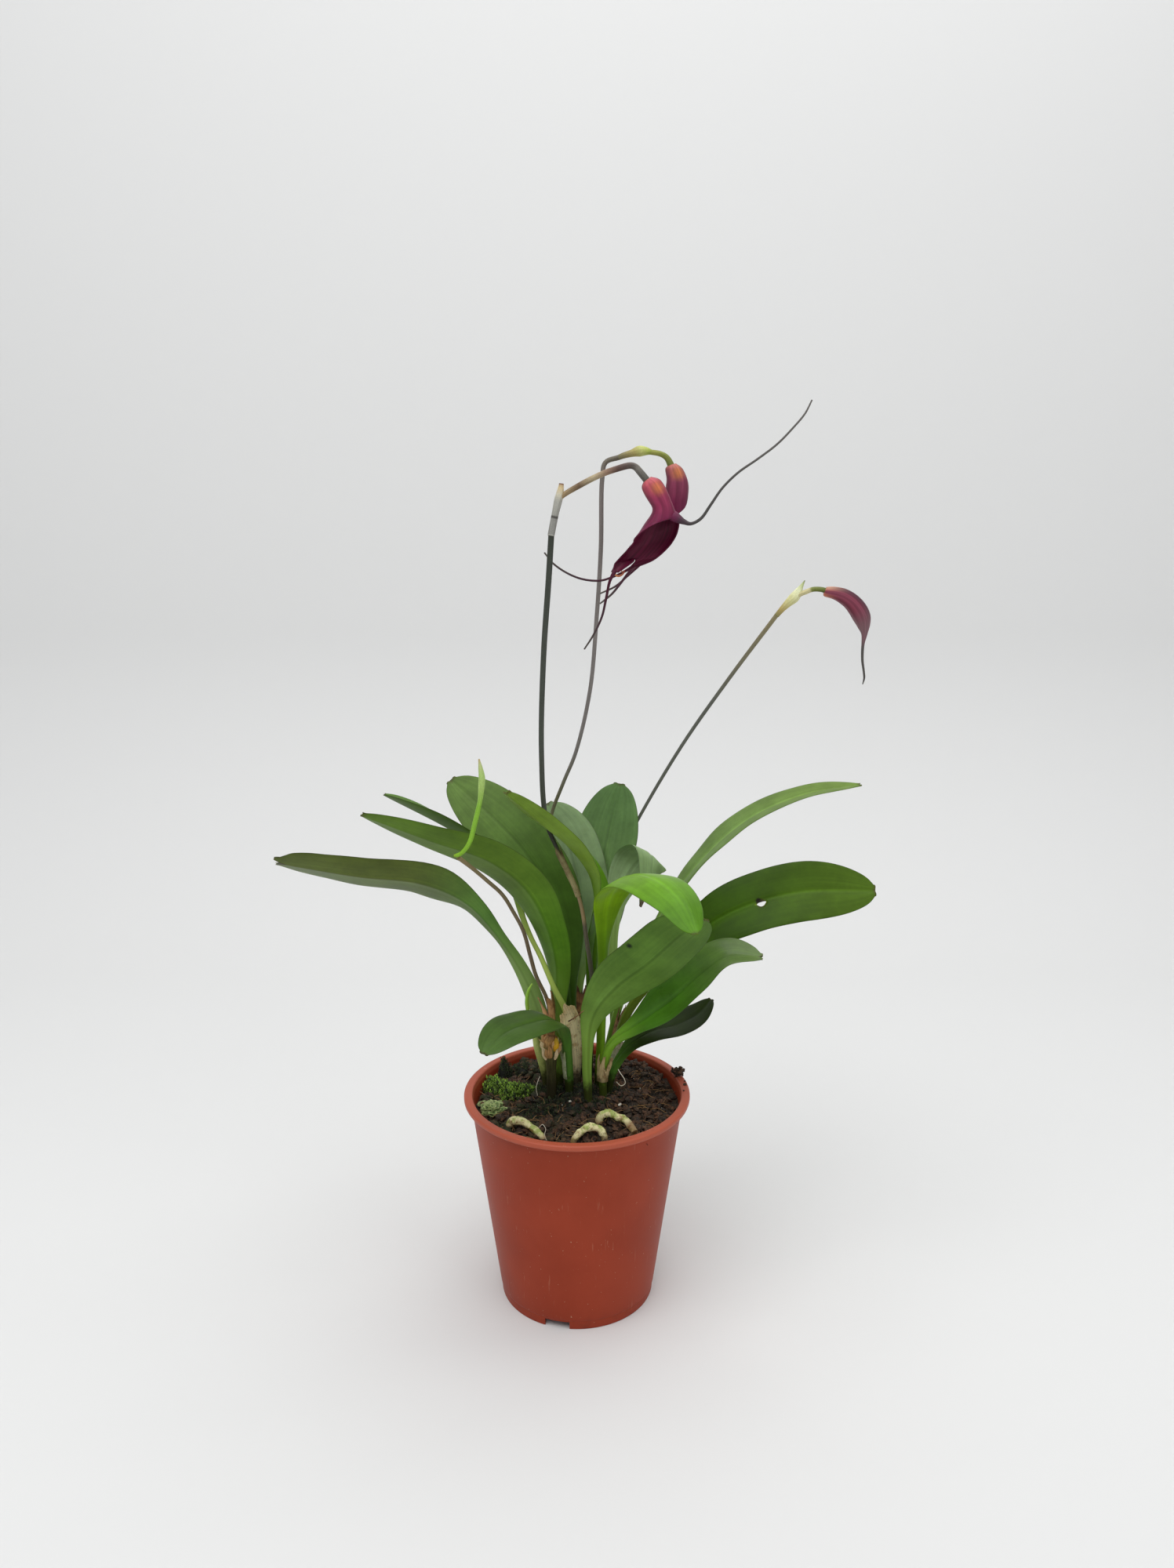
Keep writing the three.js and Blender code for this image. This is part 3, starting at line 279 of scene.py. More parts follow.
ROOTS = {
    "aerial_root_left": [
        (-26.3, -17.6, 77.4, 1.5), (-25.6, -18.8, 81.4, 1.7), (-23.4, -20.4, 83.3, 1.75),
        (-20.5, -21.7, 83.3, 1.6), (-16.8, -23.8, 82, 1.45), (-13.2, -26, 79.6, 1.25),
        (-11.2, -27.2, 77.4, 1.0)],
    "aerial_root_middle": [
        (-2.2, -28.6, 76.6, 1.4), (-0.4, -28, 80.2, 1.45), (2.2, -26.9, 82.6, 1.6), (5, -25.9, 83.4, 1.65),
        (8.2, -25.8, 82.7, 1.6), (10.4, -26.4, 80.2, 1.45), (11.2, -26.8, 76.6, 1.4)],
    "aerial_root_right": [
        (8.6, -14.8, 77.4, 1.4), (8.6, -15.6, 81, 1.55), (10.4, -15.6, 83.4, 1.6), (13, -15.9, 83.7, 1.6),
        (15.6, -17, 83, 1.4), (18, -18.2, 82.6, 1.55), (20.2, -21, 81.9, 1.4), (22.2, -24.8, 80.6, 1.5)],
}

# Papery sheaths: the stem that each follows, its start and top as heights, inner radii, the stem's
# own radius (`snug`), wrap and facing in degrees, and the place and depth of a rip in its top
SHEATHS = {
    "sheath_pale_large": dict(
        on="leaf_left_narrow", top=121.5, inner=(2.5, 3, 4.6, 4.8, 3.2), snug=2.45, wrap=126, facing=-62,
        arch=9, teeth=0.6, color="#f2e2b2", stain="#bd9a66"),
    "sheath_brown_back": dict(
        on="leaf_back_rounded", top=118, inner=(2.4, 2.4, 2.6, 2.9, 3.2), snug=2.6, wrap=230, facing=-90,
        color="#93683f", stain="#4a2d1a"),
    "sheath_brown_torn": dict(
        on="peduncle_budding", start=99, top=123.5, inner=(1.5, 1.6, 1.8, 2, 2.2), snug=1.5, wrap=190,
        facing=-70, rip=(-0.2, 6), color="#bb9160", stain="#7d5230"),
    "sheath_green": dict(
        on="leaf_far_left", top=104, inner=(2.1, 2.3, 2.7, 3.2, 3.5), snug=3.2, wrap=200, facing=-150,
        color="#b7c573", stain="#8f9a52"),
    "sheath_strip": dict(
        on="leaf_left_small", start=91, top=103, inner=(2, 2, 2, 2, 2.1), snug=2, wrap=76, facing=-148,
        color="#b7c09a", stain="#7d8a4e"),
    "sheath_tan_front": dict(
        on="leaf_front_glossy", top=100.5, inner=(2.1, 2.2, 2.3, 2.4, 2.4), snug=2.4, wrap=130, start=90,
        rip=(0.2, 4), facing=-100, color="#bba779", stain="#7a6238"),
    "sheath_brown_right": dict(
        on="leaf_right_narrow", top=113, inner=(2.2, 2.3, 2.4, 2.5, 2.5), snug=2.4, wrap=96, facing=-40,
        rip=(-0.2, 5), color="#98754a", stain="#5d3f23"),
    "sheath_flake": dict(
        on="leaf_right_large", start=93, top=102.5, inner=(2.1, 2.1, 2.2, 2.3, 2.4), snug=2.3, wrap=84,
        facing=-75, color="#d5cdb4", stain="#a4936a"),
    "sheath_peduncle": dict(
        on="peduncle_tall", start=168, top=185, inner=(0.75, 0.72, 0.72, 0.75, 0.85), snug=0.8, wrap=300,
        facing=-90, color="#8a8058", stain="#6b5a3c"),
}
SHEATH_ROWS = 26
SHEATH_COLUMNS = 25
SHEATH_THICKNESS = 0.45
SHEATH_FOOT = 0.4
SHEATH_TEETH = 1.6
SHEATH_ARCH = 2.2

# Bracts: papery or leafy sleeves at the tops of the flower stems
BRACTS = {
    "bract_dry": [
        (-9.0, 0, 302.6, 1.18), (-8.9, 0, 303.2, 1.28), (-7.4, 0, 310.5, 1.3), (-6.3, 0, 315.2, 1.5),
        (-5.7, 0, 317.6, 1.35), (-5.3, 0, 319.8, 1.0), (-5.15, 0, 321, 0.85)],
    "bract_green": [
        (15.4, 12, 330.6, 0.95), (17.5, 12, 331.4, 1.1), (20.5, 12, 332.2, 1.35), (23.2, 12, 332.9, 1.95),
        (25.6, 12, 332.9, 1.5), (27.4, 12, 332.6, 1.0)],
    "bract_pointed": [
        (78.3, 31, 271.8, 1.0), (80.5, 30.6, 274.5, 1.2), (82.6, 30.1, 276.8, 1.6), (84.9, 29.6, 279.1, 2.05),
        (86.3, 29.2, 281.4, 1.5), (87.3, 28.9, 283.3, 0.8), (88.5, 28.5, 285.6, 0.2)],
}

# Flowers. Each row of the tube has its left and right edge as x and z, then its y and half depth.
# The last row is the mouth, whose near wall rises by `mouth_lift`. The rows after it form the two
# joined lateral sepals, which part after the last of them and end in tails. The crown's tone
# changes to the second one over that share of the tube, around an orange area that is partly
# the flower's colour and partly a painted highlight.
FLOWERS = {
    "flower_front": dict(
        rows=[((23.9, 321.2), (26.6, 323.2), -4, 1.7), ((23.4, 319.4), (29.6, 322.4), -4, 2.9),
              ((24.4, 317), (31.6, 320), -4, 3.3), ((25.9, 314.6), (33.1, 317), -4, 3.5),
              ((27.2, 312.4), (34.3, 314.2), -4, 3.7), ((26.8, 310.2), (35.3, 311.8), -4, 4.1),
              ((24.3, 306.6), (36.4, 309.6), -4, 4.6), ((20.6, 300.6), (37, 307.9), -3.8, 4.6)],
        mouth_lift=2.6,
        sepals=[((19.2, 298.9), (36.9, 305.4), -3.2, 4.3), ((17.8, 297.2), (36, 302.4), -2.6, 3.9),
                ((16, 295.3), (34, 299.2), -2.2, 3.3), ((14, 293.1), (31.2, 296.3), -1.8, 2.6)],
        lobes=[
            [((13.4, 291.4), (20.6, 293.2), -2.2, 1.6), ((12.6, 289.9), (15.3, 289.6), -2.8, 0.7)],
            [((21.4, 293.7), (27.6, 293.6), -0.2, 1.8), ((19.9, 292), (22.2, 291.4), 1.2, 0.7)],
        ],
        tails=[
            [(14.2, -3, 290.4, 0.8), (12.3, -4, 286.9, 0.55), (10.9, -4.4, 280.5, 0.48),
             (9.4, -4.5, 274, 0.42), (6.4, -4.5, 267.5, 0.38), (3, -4.5, 262.2, 0.3)],
            [(21.2, 1.6, 291.9, 0.7), (17.2, 3.3, 289.6, 0.45), (12.8, 4.3, 287.6, 0.42),
             (8.8, 5, 286.5, 0.42), (2.8, 6, 286.9, 0.4), (-2.8, 6.5, 288.9, 0.38), (-8.4, 6.9, 292.6, 0.36),
             (-11.7, 7, 296.6, 0.3)],
            [(34.6, -6.6, 309.6, 1.9, 1.3), (36.4, -7.7, 308.5, 1.5, 1.0), (38.1, -8.6, 307.6, 1.0, 0.75),
             (40.6, -9.4, 306.9, 0.6), (44, -9.8, 308.6, 0.55), (47.3, -10, 313.2, 0.5),
             (51.3, -10, 319, 0.45), (56.7, -10, 324.3, 0.42), (63.4, -10, 328.9, 0.4),
             (70.2, -9.5, 334, 0.38), (75.6, -9, 339.5, 0.36), (79.6, -8.3, 344.2, 0.34),
             (82, -7.5, 348.8, 0.28)],
        ],
        split=0.44, crown=("#ba5860", 0.5, "#8d3251"), patch_and_highlight=(29.2, -7.6, 319.4)),
    "flower_back": dict(
        rows=[((33.9, 327.9), (36.6, 328.6), 12, 1.3), ((32.7, 326.6), (39, 326.8), 12, 2.8),
              ((33.2, 323.2), (40.8, 323.2), 12, 3.5), ((33, 320.5), (41.4, 320.3), 12, 3.9),
              ((32.6, 317.4), (41.3, 317.2), 12, 4.1), ((32.2, 313.6), (41.1, 315.4), 12.2, 4.3),
              ((31, 308.6), (40.4, 314), 12.6, 4.4)],
        mouth_lift=-1.6,
        sepals=[((29.4, 306), (37, 310), 13.2, 4), ((27.6, 302.6), (34.6, 305.2), 13.8, 3.6),
                ((25.7, 299), (33, 301.2), 14, 3), ((23.9, 296), (31.2, 297.4), 14, 2.4)],
        lobes=[
            [((22.1, 293.6), (26.2, 294.2), 13, 1.4), ((20.9, 291.6), (22.6, 291.2), 12.4, 0.6)],
            [((26.6, 294.6), (29.6, 294.8), 16.4, 1.4), ((23.4, 292.2), (25, 291.8), 17, 0.6)],
        ],
        tails=[
            [(21.9, 12.3, 292, 0.6), (19.1, 11.5, 288.6, 0.5), (16.1, 10.7, 284.7, 0.45),
             (13.2, 10, 281.3, 0.42), (8.8, 9, 277.8, 0.3)],
            [(24.4, 17, 292.4, 0.6), (19.2, 16, 287.7, 0.42), (14.8, 15, 284, 0.4), (8.9, 14, 281.3, 0.3)],
        ],
        split=0.5, crown=("#ae665c", 0.42, "#7f3850"), patch_and_highlight=(37.4, 8.6, 325.2)),
}
FLOWER_COLUMNS = 48
FLOWER_STEPS = 6
FLOWER_WALL = 0.45
# Light under the surface of petals: weight, radius and scale
PETAL_GLOW = (0.12, (1.0, 0.25, 0.3), 0.0008)

# Tones of stems and other strands, each after its share of the length
STEM_TONES = {
    "peduncle_tall": "0 #3b3a24, 0.1 #5b5a34, 0.28 #4c4a3c, 0.4 #57503f, 0.415 #8a7654, 0.5 #7d6a4c, "
                     "0.52 #6b6a3c, 0.56 #45443e, 0.75 #474b44, 1 #3c4038",
    "peduncle_thin": "0 #5a5a30, 0.2 #7f8a45, 0.5 #6e6b52, 0.6 #7f7977, 0.85 #7c7571, 0.95 #6a6357, "
                     "1 #5f5a4a",
    "peduncle_right": "0 #6a7038, 0.3 #8a9a4a, 0.52 #7a8450, 0.6 #64655c, 0.85 #62635c, 1 #8a8060",
    "peduncle_budding": "0 #5a5530, 0.2 #6f6242, 0.5 #6b5c48, 0.8 #74684c, 1 #8a7b58",
    "pedicel_tall": "0 #a98a5c, 0.16 #8f7c5e, 0.22 #6b5642, 0.3 #b3a484, 0.38 #8f7460, 0.46 #5c4640, "
                    "0.6 #5f5852, 0.72 #77726a, 0.85 #5f5d56, 1 #5a5c54",
    "pedicel_thin": "0 #9a9a50, 0.3 #80873f, 0.7 #6c723a, 1 #5f6038",
    "pedicel_right": "0 #c9bf8e, 0.5 #c3ba8c, 0.58 #757c3e, 0.9 #5d672f, 1 #6b5a3a",
    "bud_green": "0 #7f9a2e, 0.1 #7fae2c, 0.6 #84b53c, 0.72 #a6c46a, 0.85 #a9c673, 0.95 #b3bc80, 1 #b59f74",
    "young_shoot": "0 #8f9a50, 0.4 #b4c070, 0.52 #a9c062, 0.64 #7fa038, 0.85 #86b83c, 1 #a6cc58",
    "old_stem": "0 #2c2a18, 0.5 #4b4a26, 0.68 #73733a, 0.74 #9c7a4a, 0.82 #bd9158, 0.92 #b08658, 1 #85603c",
    "knot_shreds": "0 #8a6038, 0.35 #bf9560, 0.7 #d3b486, 1 #e0cca0",
    "knot_bud": "0 #b98a2a, 0.4 #d9a520, 0.8 #cfa632, 1 #a8742c",
    "bract_dry": "0 #3c4038, 0.12 #b7b5ac, 0.17 #8f8e88, 0.29 #8f8e88, 0.305 #35302c, 0.32 #9b9a92, "
                 "0.48 #a9a89e, 0.62 #c9c3ae, 0.8 #cdb98e, 0.93 #b9a27c, 0.97 #7b4330, 1 #3c1f18",
    "bract_green": "0 #6f6a4e, 0.2 #857b57, 0.45 #a59a5f, 0.65 #b9bd72, 0.85 #a8b455, 1 #8e9a45",
    "bract_pointed": "0 #7f7a52, 0.15 #b39f62, 0.4 #d3cf96, 0.7 #dfe2b8, 0.9 #b9c48a, 1 #7f8a58",
    "long_tail": "0 #6d2446, 0.06 #5c1f3e, 0.14 #43303a, 0.3 #464442, 1 #66625e",
    "short_tail": "0 #4c1029, 0.25 #421426, 0.6 #402830, 1 #55504a",
    "straw": "0 #4a3120, 0.5 #7a5438, 1 #b08c62",
    "withered_curl": "0 #a8583a, 0.5 #d68a5c, 1 #8a3c32",
    "root_hair": "0 #e2dccb, 1 #cfc6ae",
}

# Small loose things: their slot and route
TRIM = {
    "straw": ("dry_sheath", [
        (-3.3, -6, 117.6, 0.26), (-0.1, -7, 120.1, 0.24), (2.3, -8, 122.7, 0.22), (4.7, -9, 125.4, 0.15)]),
    "withered_curl": ("flower", [
        (16.9, 2.2, 289.6, 0.2), (15.9, 1.2, 291.2, 0.26), (14.4, 1, 290.4, 0.3), (14.2, 1.6, 288.9, 0.32),
        (15.6, 2.4, 288.2, 0.34), (17, 2.9, 288.9, 0.3), (17.9, 2.6, 290.3, 0.24)]),
    "root_hair_right": ("root", [
        (16.4, 0, 94.6, 0.14), (17.1, -1, 93.7, 0.17), (18.8, -1, 91, 0.17), (19.2, -1, 89, 0.16),
        (17.6, -1, 88, 0.16), (15.7, -1, 89.7, 0.14)]),
    "root_hair_left": ("root", [
        (-14.8, -1, 92, 0.09), (-15.6, -1.5, 90, 0.1), (-16.2, -2, 87.5, 0.1), (-15.7, -2.4, 84.5, 0.09)]),
    "root_hair_front": ("root", [
        (-14, -27, 84, 0.1), (-12.8, -27.5, 85.4, 0.12), (-11.6, -28, 84, 0.12), (-12, -28.6, 81.6, 0.11),
        (-11.2, -29, 79.6, 0.1)]),
}

# Mounds of moss: x, y, half sizes, height and number of shoots
BRIGHT_MOSS = [
    (-34.6, 12.4, 4.4, 4.6, 3.6, 360), (-30, 9, 4, 3.4, 2.6, 260), (-25.6, 6.4, 4.4, 3.6, 3.4, 360),
    (-20.6, 5.2, 3.8, 3, 2.6, 240)]
DARK_MOSS = [
    (-31, 22.6, 3.8, 3.2, 6.5, 160), (-24, 24, 4.5, 3.5, 3, 120), (-17, -7, 7, 4, 1.6, 140),
    (-4, -5, 12, 5, 1.8, 260), (-8, 3, 9, 7, 2.4, 260), (4, 0, 9, 6, 2.6, 260), (13, 5, 6, 6, 1.6, 120),
    (-16, 9, 6, 6, 2, 140)]
MOSS_SINKS = 0.9
# Mound of the liverwort, and its number of lobes
LIVERWORT = (-33.8, -5, 5.2, 6.4, 2.2, 46)
# How far from the middle of the pot mounds, shoots and lobes may stand
MOUND_LIMIT = 39.2
SHOOT_LIMIT = 39.3
LOBE_LIMIT = 38.2

# Loose bits of the filling: how many, and how far from the middle of the pot
CRUMBS = (1700, 39)
FIBRES = (420, 37)
PALE_GRAINS = (26, 34)
CRUMB_SIZES = (0.45, 0.6, 0.8, 1.1, 1.5, 1.9)
PALE_LUMPS = ((-2.6, -5.5), (17, -5))


def smoothstep(x, low, high):
    share = np.clip((x - low) / (high - low), 0, 1)
    return share * share * (3 - 2 * share)


def along(values, t):
    """Values spaced evenly over 0..1, read with a smooth curve between them."""
    values = np.asarray(values, float)
    place = np.clip(t, 0, 1) * (len(values) - 1)
    i = np.minimum(np.floor(place).astype(int), len(values) - 2)
    before = values[np.maximum(i - 1, 0)]
    after = values[np.minimum(i + 2, len(values) - 1)]
    f = place - i
    slope0 = (values[i + 1] - before) / 2
    slope1 = (after - values[i]) / 2
    rise = values[i + 1] - values[i]
    return values[i] + f * (slope0 + f * (3 * rise - 2 * slope0 - slope1 + f * (slope0 + slope1 - 2 * rise)))


def unit(vectors):
    return vectors / np.maximum(np.linalg.norm(vectors, axis=-1, keepdims=True), 1e-9)


def circle(count):
    return np.linspace(0, math.tau, count, endpoint=False)


def level(turn):
    """The level direction at an angle in radians from the x axis."""
    return np.array([math.cos(turn), math.sin(turn), 0])


def turned(points, tilt, turn):
    """Points tilted about y and then turned about z."""
    c, s = math.cos(tilt), math.sin(tilt)
    points = points @ np.array([[c, 0, -s], [0, 1, 0], [s, 0, c]])
    c, s = math.cos(turn), math.sin(turn)
    return points @ np.array([[c, s, 0], [-s, c, 0], [0, 0, 1]])


class Route:
    """A smooth curve through points, the centripetal spline that the solids follow."""

    SAMPLES = 600

    def __init__(self, points):
        self.points = np.array([p[:3] for p in points], float)
        fine = self.at(np.linspace(0, 1, self.SAMPLES))
        steps = np.linalg.norm(np.diff(fine, axis=0), axis=1)
        self.lengths = np.concatenate([[0], np.cumsum(steps)])

    def at(self, u):
        p = self.points
        padded = np.vstack([2 * p[0] - p[1], p, 2 * p[-1] - p[-2]])
        place = np.clip(u, 0, 1) * (len(p) - 1)
        i = np.minimum(np.floor(place).astype(int), len(p) - 2)
        f = (place - i)[:, None]
        a, b, c, d = (padded[i + k] for k in range(4))
        da, db, dc = (np.sqrt(np.linalg.norm(q - r, axis=1))[:, None] for q, r in ((b, a), (c, b), (d, c)))
        out = ((b - a) / da - (c - a) / (da + db) + (c - b) / db) * db
        into = ((c - b) / db - (d - b) / (db + dc) + (d - c) / dc) * db
        rise = c - b
        return b + f * (out + f * (3 * rise - 2 * out - into + f * (out + into - 2 * rise)))

    def tangent(self, u):
        step = 1e-4
        return unit(self.at(np.clip(u + step, 0, 1)) - self.at(np.clip(u - step, 0, 1)))

    def by_length(self, t):
        """The curve's own parameter at shares t of its length."""
        return np.interp(np.asarray(t) * self.lengths[-1], self.lengths, np.linspace(0, 1, self.SAMPLES))

    def share_at_height(self, z):
        samples = np.linspace(0, 1, 800)
        heights = self.at(self.by_length(samples))[:, 2]
        above = np.nonzero(heights >= z)[0]
        return samples[above[0]] if len(above) else 1.0


def soil_height(x, y):
    def hill(cx, cy, spread):
        return np.exp(-((x - cx) ** 2 + (y - cy) ** 2) / (2 * spread * spread))

    return (SOIL_LEVEL + 0.8 * np.sin(0.31 * x + 0.7) * np.cos(0.27 * y - 0.4)
            + 0.45 * np.sin(0.6 * x - 0.5 * y) + 2 * hill(31, 14, 12) + 1.2 * hill(3, 6, 15)
            + 3.6 * smoothstep(y, 6, 32) - 1.8 * smoothstep(-y, 20, 36))


def ground_height(x, y):
    """The loose top of the filling, heaped around the stems."""
    return soil_height(x, y) + HEAP * np.exp(-(((x + 1) / 17) ** 2 + ((y - 2) / 9) ** 2))


def wobble(points, size, height, seed=0):
    """A soft noise value for each point: waves of that size in mm, up to about `height` either way."""
    flat = np.asarray(points, float).reshape(-1, 3) / size + seed * 17.3
    values = [noise.noise(Vector(p)) for p in flat]
    return height * np.array(values).reshape(np.shape(points)[:-1])


def new_mesh(name, points, faces, values=None, sharp=50):
    mesh = bpy.data.meshes.new(name)
    mesh.from_pydata((np.asarray(points, float).reshape(-1, 3) * MM).tolist(), [], faces)
    for key, value in (values or {}).items():
        data = mesh.attributes.new(key, "FLOAT", "POINT").data
        data.foreach_set("value", np.asarray(value, np.float32).ravel())
    mesh.polygons.foreach_set("use_smooth", [True] * len(mesh.polygons))
    mesh.set_sharp_from_angle(angle=math.radians(sharp))
    return mesh


def new_object(name, data):
    thing = bpy.data.objects.new(name, data)
    bpy.context.scene.collection.objects.link(thing)
    return thing


def add_piece(name, part, material, slot, extra=False, sharp=50):
    """A piece from (points, faces, values), in place of the node with that name unless it is an extra."""
    mesh = new_mesh(name, *part, sharp=sharp)
    mesh.materials.append(material)
    piece = new_object(name if extra else "fine_" + name, mesh)
    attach(piece, "root")
    if not extra:
        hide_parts(name)
    return piece


def grid_faces(rows, columns, closed):
    """Quads between rows of points. Closed rows join their last point to their first."""
    faces = []
    for i in range(rows - 1):
        for k in range(columns if closed else columns - 1):
            a = i * columns + k
            b = i * columns + (k + 1) % columns
            faces.append((a, b, b + columns, a + columns))
    return faces


def loft(rings, values):
    """A closed solid through rings of points, shaped (rings, points, 3), as points, faces and values."""
    rows, columns = rings.shape[:2]
    faces = grid_faces(rows, columns, True)
    faces.append(tuple(range(columns))[::-1])
    faces.append(tuple((rows - 1) * columns + k for k in range(columns)))
    flat = {key: np.broadcast_to(value, (rows, columns)).ravel() for key, value in values.items()}
    return rings, faces, flat


def thick_sheet(points, faces, thickness, values):
    """A closed thin shell: the sheet's points, and a copy set back along their normals.

    The attribute `inner` is 1 on the copy.
    """
    points = np.asarray(points, float).reshape(-1, 3)
    flat = new_mesh("flat", points, faces)
    normals = np.array([tuple(n.vector) for n in flat.vertex_normals])
    bpy.data.meshes.remove(flat)
    count = len(points)
    used = dict.fromkeys(pair for face in faces for pair in zip(face, face[1:] + face[:1]))
    rim = [(b, a, a + count, b + count) for a, b in used if (b, a) not in used]
    shell = list(faces) + [tuple(k + count for k in face[::-1]) for face in faces] + rim
    both = {key: np.tile(np.ravel(value), 2) for key, value in values.items()}
    both["inner"] = np.repeat([0.0, 1.0], count)
    return np.vstack([points, points - normals * thickness]), shell, both


def merge(parts):
    """Several (points, faces, values) as one."""
    points, faces, values = [], [], {}
    start = 0
    for part_points, part_faces, part_values in parts:
        part_points = np.asarray(part_points, float).reshape(-1, 3)
        points.append(part_points)
        faces += [tuple(k + start for k in face) for face in part_faces]
        for key, value in part_values.items():
            values.setdefault(key, []).append(np.broadcast_to(value, len(part_points)))
        start += len(part_points)
    return np.vstack(points), faces, {key: np.concatenate(value) for key, value in values.items()}


def strand_rings(points, sides, steps, swell=None):
    """Rings and values along a route whose points carry their own half widths and thicknesses."""
    route = Route(points)
    u = np.linspace(0, 1, (len(points) - 1) * steps + 1)
    tangent = route.tangent(u)
    s = unit(np.cross(FRONT, tangent))
    n = np.cross(tangent, s)
    width = np.maximum(along([p[3] for p in points], u), THINNEST)
    thick = np.maximum(along([p[4] if len(p) > 4 else p[3] for p in points], u), THINNEST)
    angle = circle(sides)
    grow = 1 if swell is None else swell(u[:, None], angle[None, :])
    rings = (route.at(u)[:, None] + s[:, None] * (width[:, None] * np.cos(angle) * grow)[..., None]
             + n[:, None] * (thick[:, None] * np.sin(angle) * grow)[..., None])
    length = np.interp(u, np.linspace(0, 1, route.SAMPLES), route.lengths)
    return rings, {"along": u[:, None], "length": length[:, None],
                   "facing": np.sin(angle), "sideways": np.cos(angle)}


def add_strand(name, points, material, slot, sides=14, steps=8, extra=False, swell=None):
    add_piece(name, loft(*strand_rings(points, sides, steps, swell)), material, slot, extra)


def rgb(text):
    """A screen colour such as #8a3f2c as linear light."""
    parts = [int(text[k:k + 2], 16) / 255 for k in (1, 3, 5)]
    return tuple(c / 12.92 if c <= 0.04045 else ((c + 0.055) / 1.055) ** 2.4 for c in parts) + (1.0,)


class Paint:
    """A material under construction. `colour` is what the methods have painted so far."""

    def __init__(self, name, colour=None):
        self.material = bpy.data.materials.new("paint_" + name)
        self.material.use_nodes = True
        self.tree = self.material.node_tree
        self.surface = self.tree.nodes["Principled BSDF"]
        place = self.add("TexCoord").outputs["Object"]
        self.place = self.add("VectorMath", {0: place, "Scale": 1 / MM}, operation="SCALE").outputs[0]
        self.colour = colour

    def add(self, kind, inputs=None, **settings):
        node = self.tree.nodes.new("ShaderNode" + kind)
        for key, value in settings.items():
            setattr(node, key, value)
        for key, value in (inputs or {}).items():
            self.put(node.inputs[key], value)
        return node

    def put(self, socket, value):
        if isinstance(value, bpy.types.NodeSocket):
            self.tree.links.new(value, socket)
        else:
            socket.default_value = rgb(value) if isinstance(value, str) else value

    def attribute(self, name):
        return self.add("Attribute", attribute_name=name).outputs["Fac"]

    def axis(self, number):
        return self.add("SeparateXYZ", {0: self.place}).outputs[number]

    def noise(self, size, detail=3.0, vector=None, distortion=0.0):
        """Noise from 0 to 1 whose blotches are about `size` mm."""
        inputs = {"Vector": vector or self.place, "Scale": 1 / size, "Detail": detail}
        return self.add("TexNoise", {**inputs, "Distortion": distortion}).outputs[0]

    def grain(self, detail, *axes, z=0.0):
        """Noise over up to three values, each given with the factor that stretches it."""
        scaled = [self.times(value, factor) for value, factor in axes] + [z]
        return self.noise(1, detail, self.add("CombineXYZ", dict(enumerate(scaled[:3]))).outputs[0])

    def math(self, operation, a, b=0.0):
        return self.add("Math", {0: a, 1: b}, operation=operation).outputs[0]

    def times(self, a, b):
        return self.math("MULTIPLY", a, b)

    def plus(self, a, b):
        return self.math("ADD", a, b)

    def absolute(self, value):
        return self.math("ABSOLUTE", value)

    def smooth(self, value, low, high, first=0.0, last=1.0):
        inputs = {"Value": value, "From Min": low, "From Max": high, "To Min": first, "To Max": last}
        return self.add("MapRange", inputs, interpolation_type="SMOOTHSTEP").outputs[0]

    def near(self, point, full, none):
        """1 within `full` mm of the point, fading to 0 at `none` mm, with a ragged edge."""
        gap = self.add("VectorMath", {0: self.place, 1: tuple(point)}, operation="DISTANCE").outputs["Value"]
        ragged = self.plus(gap, self.times(self.noise(0.8, 2.0), 0.3 * none))
        return self.smooth(ragged, none * 1.15, full)

    def mix(self, factor, a, b):
        node = self.add("Mix", data_type="RGBA")
        for place, value in ((0, factor), (6, a), (7, b)):
            self.put(node.inputs[place], value)
        return node.outputs[2]

    def lay(self, where, tone, share=None):
        """Lays a tone over the colour where the value is 1. A share makes it thinner."""
        self.colour = self.mix(self.times(where, share) if share else where, self.colour, tone)

    def shade(self, value):
        """Makes the colour brighter or darker by a factor."""
        self.colour = self.add("HueSaturation", {"Color": self.colour, "Value": value}).outputs[0]

    def vary(self, value, amount, low=0.3, high=0.7):
        self.shade(self.smooth(value, low, high, 1 - amount, 1 + amount))

    def darken_foot(self):
        """Darkens the colour low down, where a stem leaves the filling."""
        ragged = self.plus(self.axis(2), self.times(self.noise(1.8), 8.0))
        self.lay(self.smooth(ragged, 98.0, 91.0), "#26230f", 0.9)

    def finish(self, roughness, shine, relief=None, depth=0.1, strength=0.5, glow=()):
        """Sets the shader. A relief is raised by `depth` mm; `glow` is the light under the surface."""
        sockets = {"Base Color": self.colour, "Roughness": roughness, "Specular IOR Level": shine}
        if relief:
            inputs = {"Height": relief, "Distance": depth * MM, "Strength": strength}
            sockets["Normal"] = self.add("Bump", inputs).outputs[0]
        sockets.update(zip(("Subsurface Weight", "Subsurface Radius", "Subsurface Scale"), glow))
        for key, value in sockets.items():
            self.put(self.surface.inputs[key], value)
        return self.material


def leaf_route(leaf):
    x, y = leaf["foot"]
    surface = float(soil_height(x, y))
    stem = [(x, y, z) for z in (SOIL_LEVEL - STEM_DEPTH, surface - 3, surface + 2.5)]
    return Route(stem + leaf["route"])


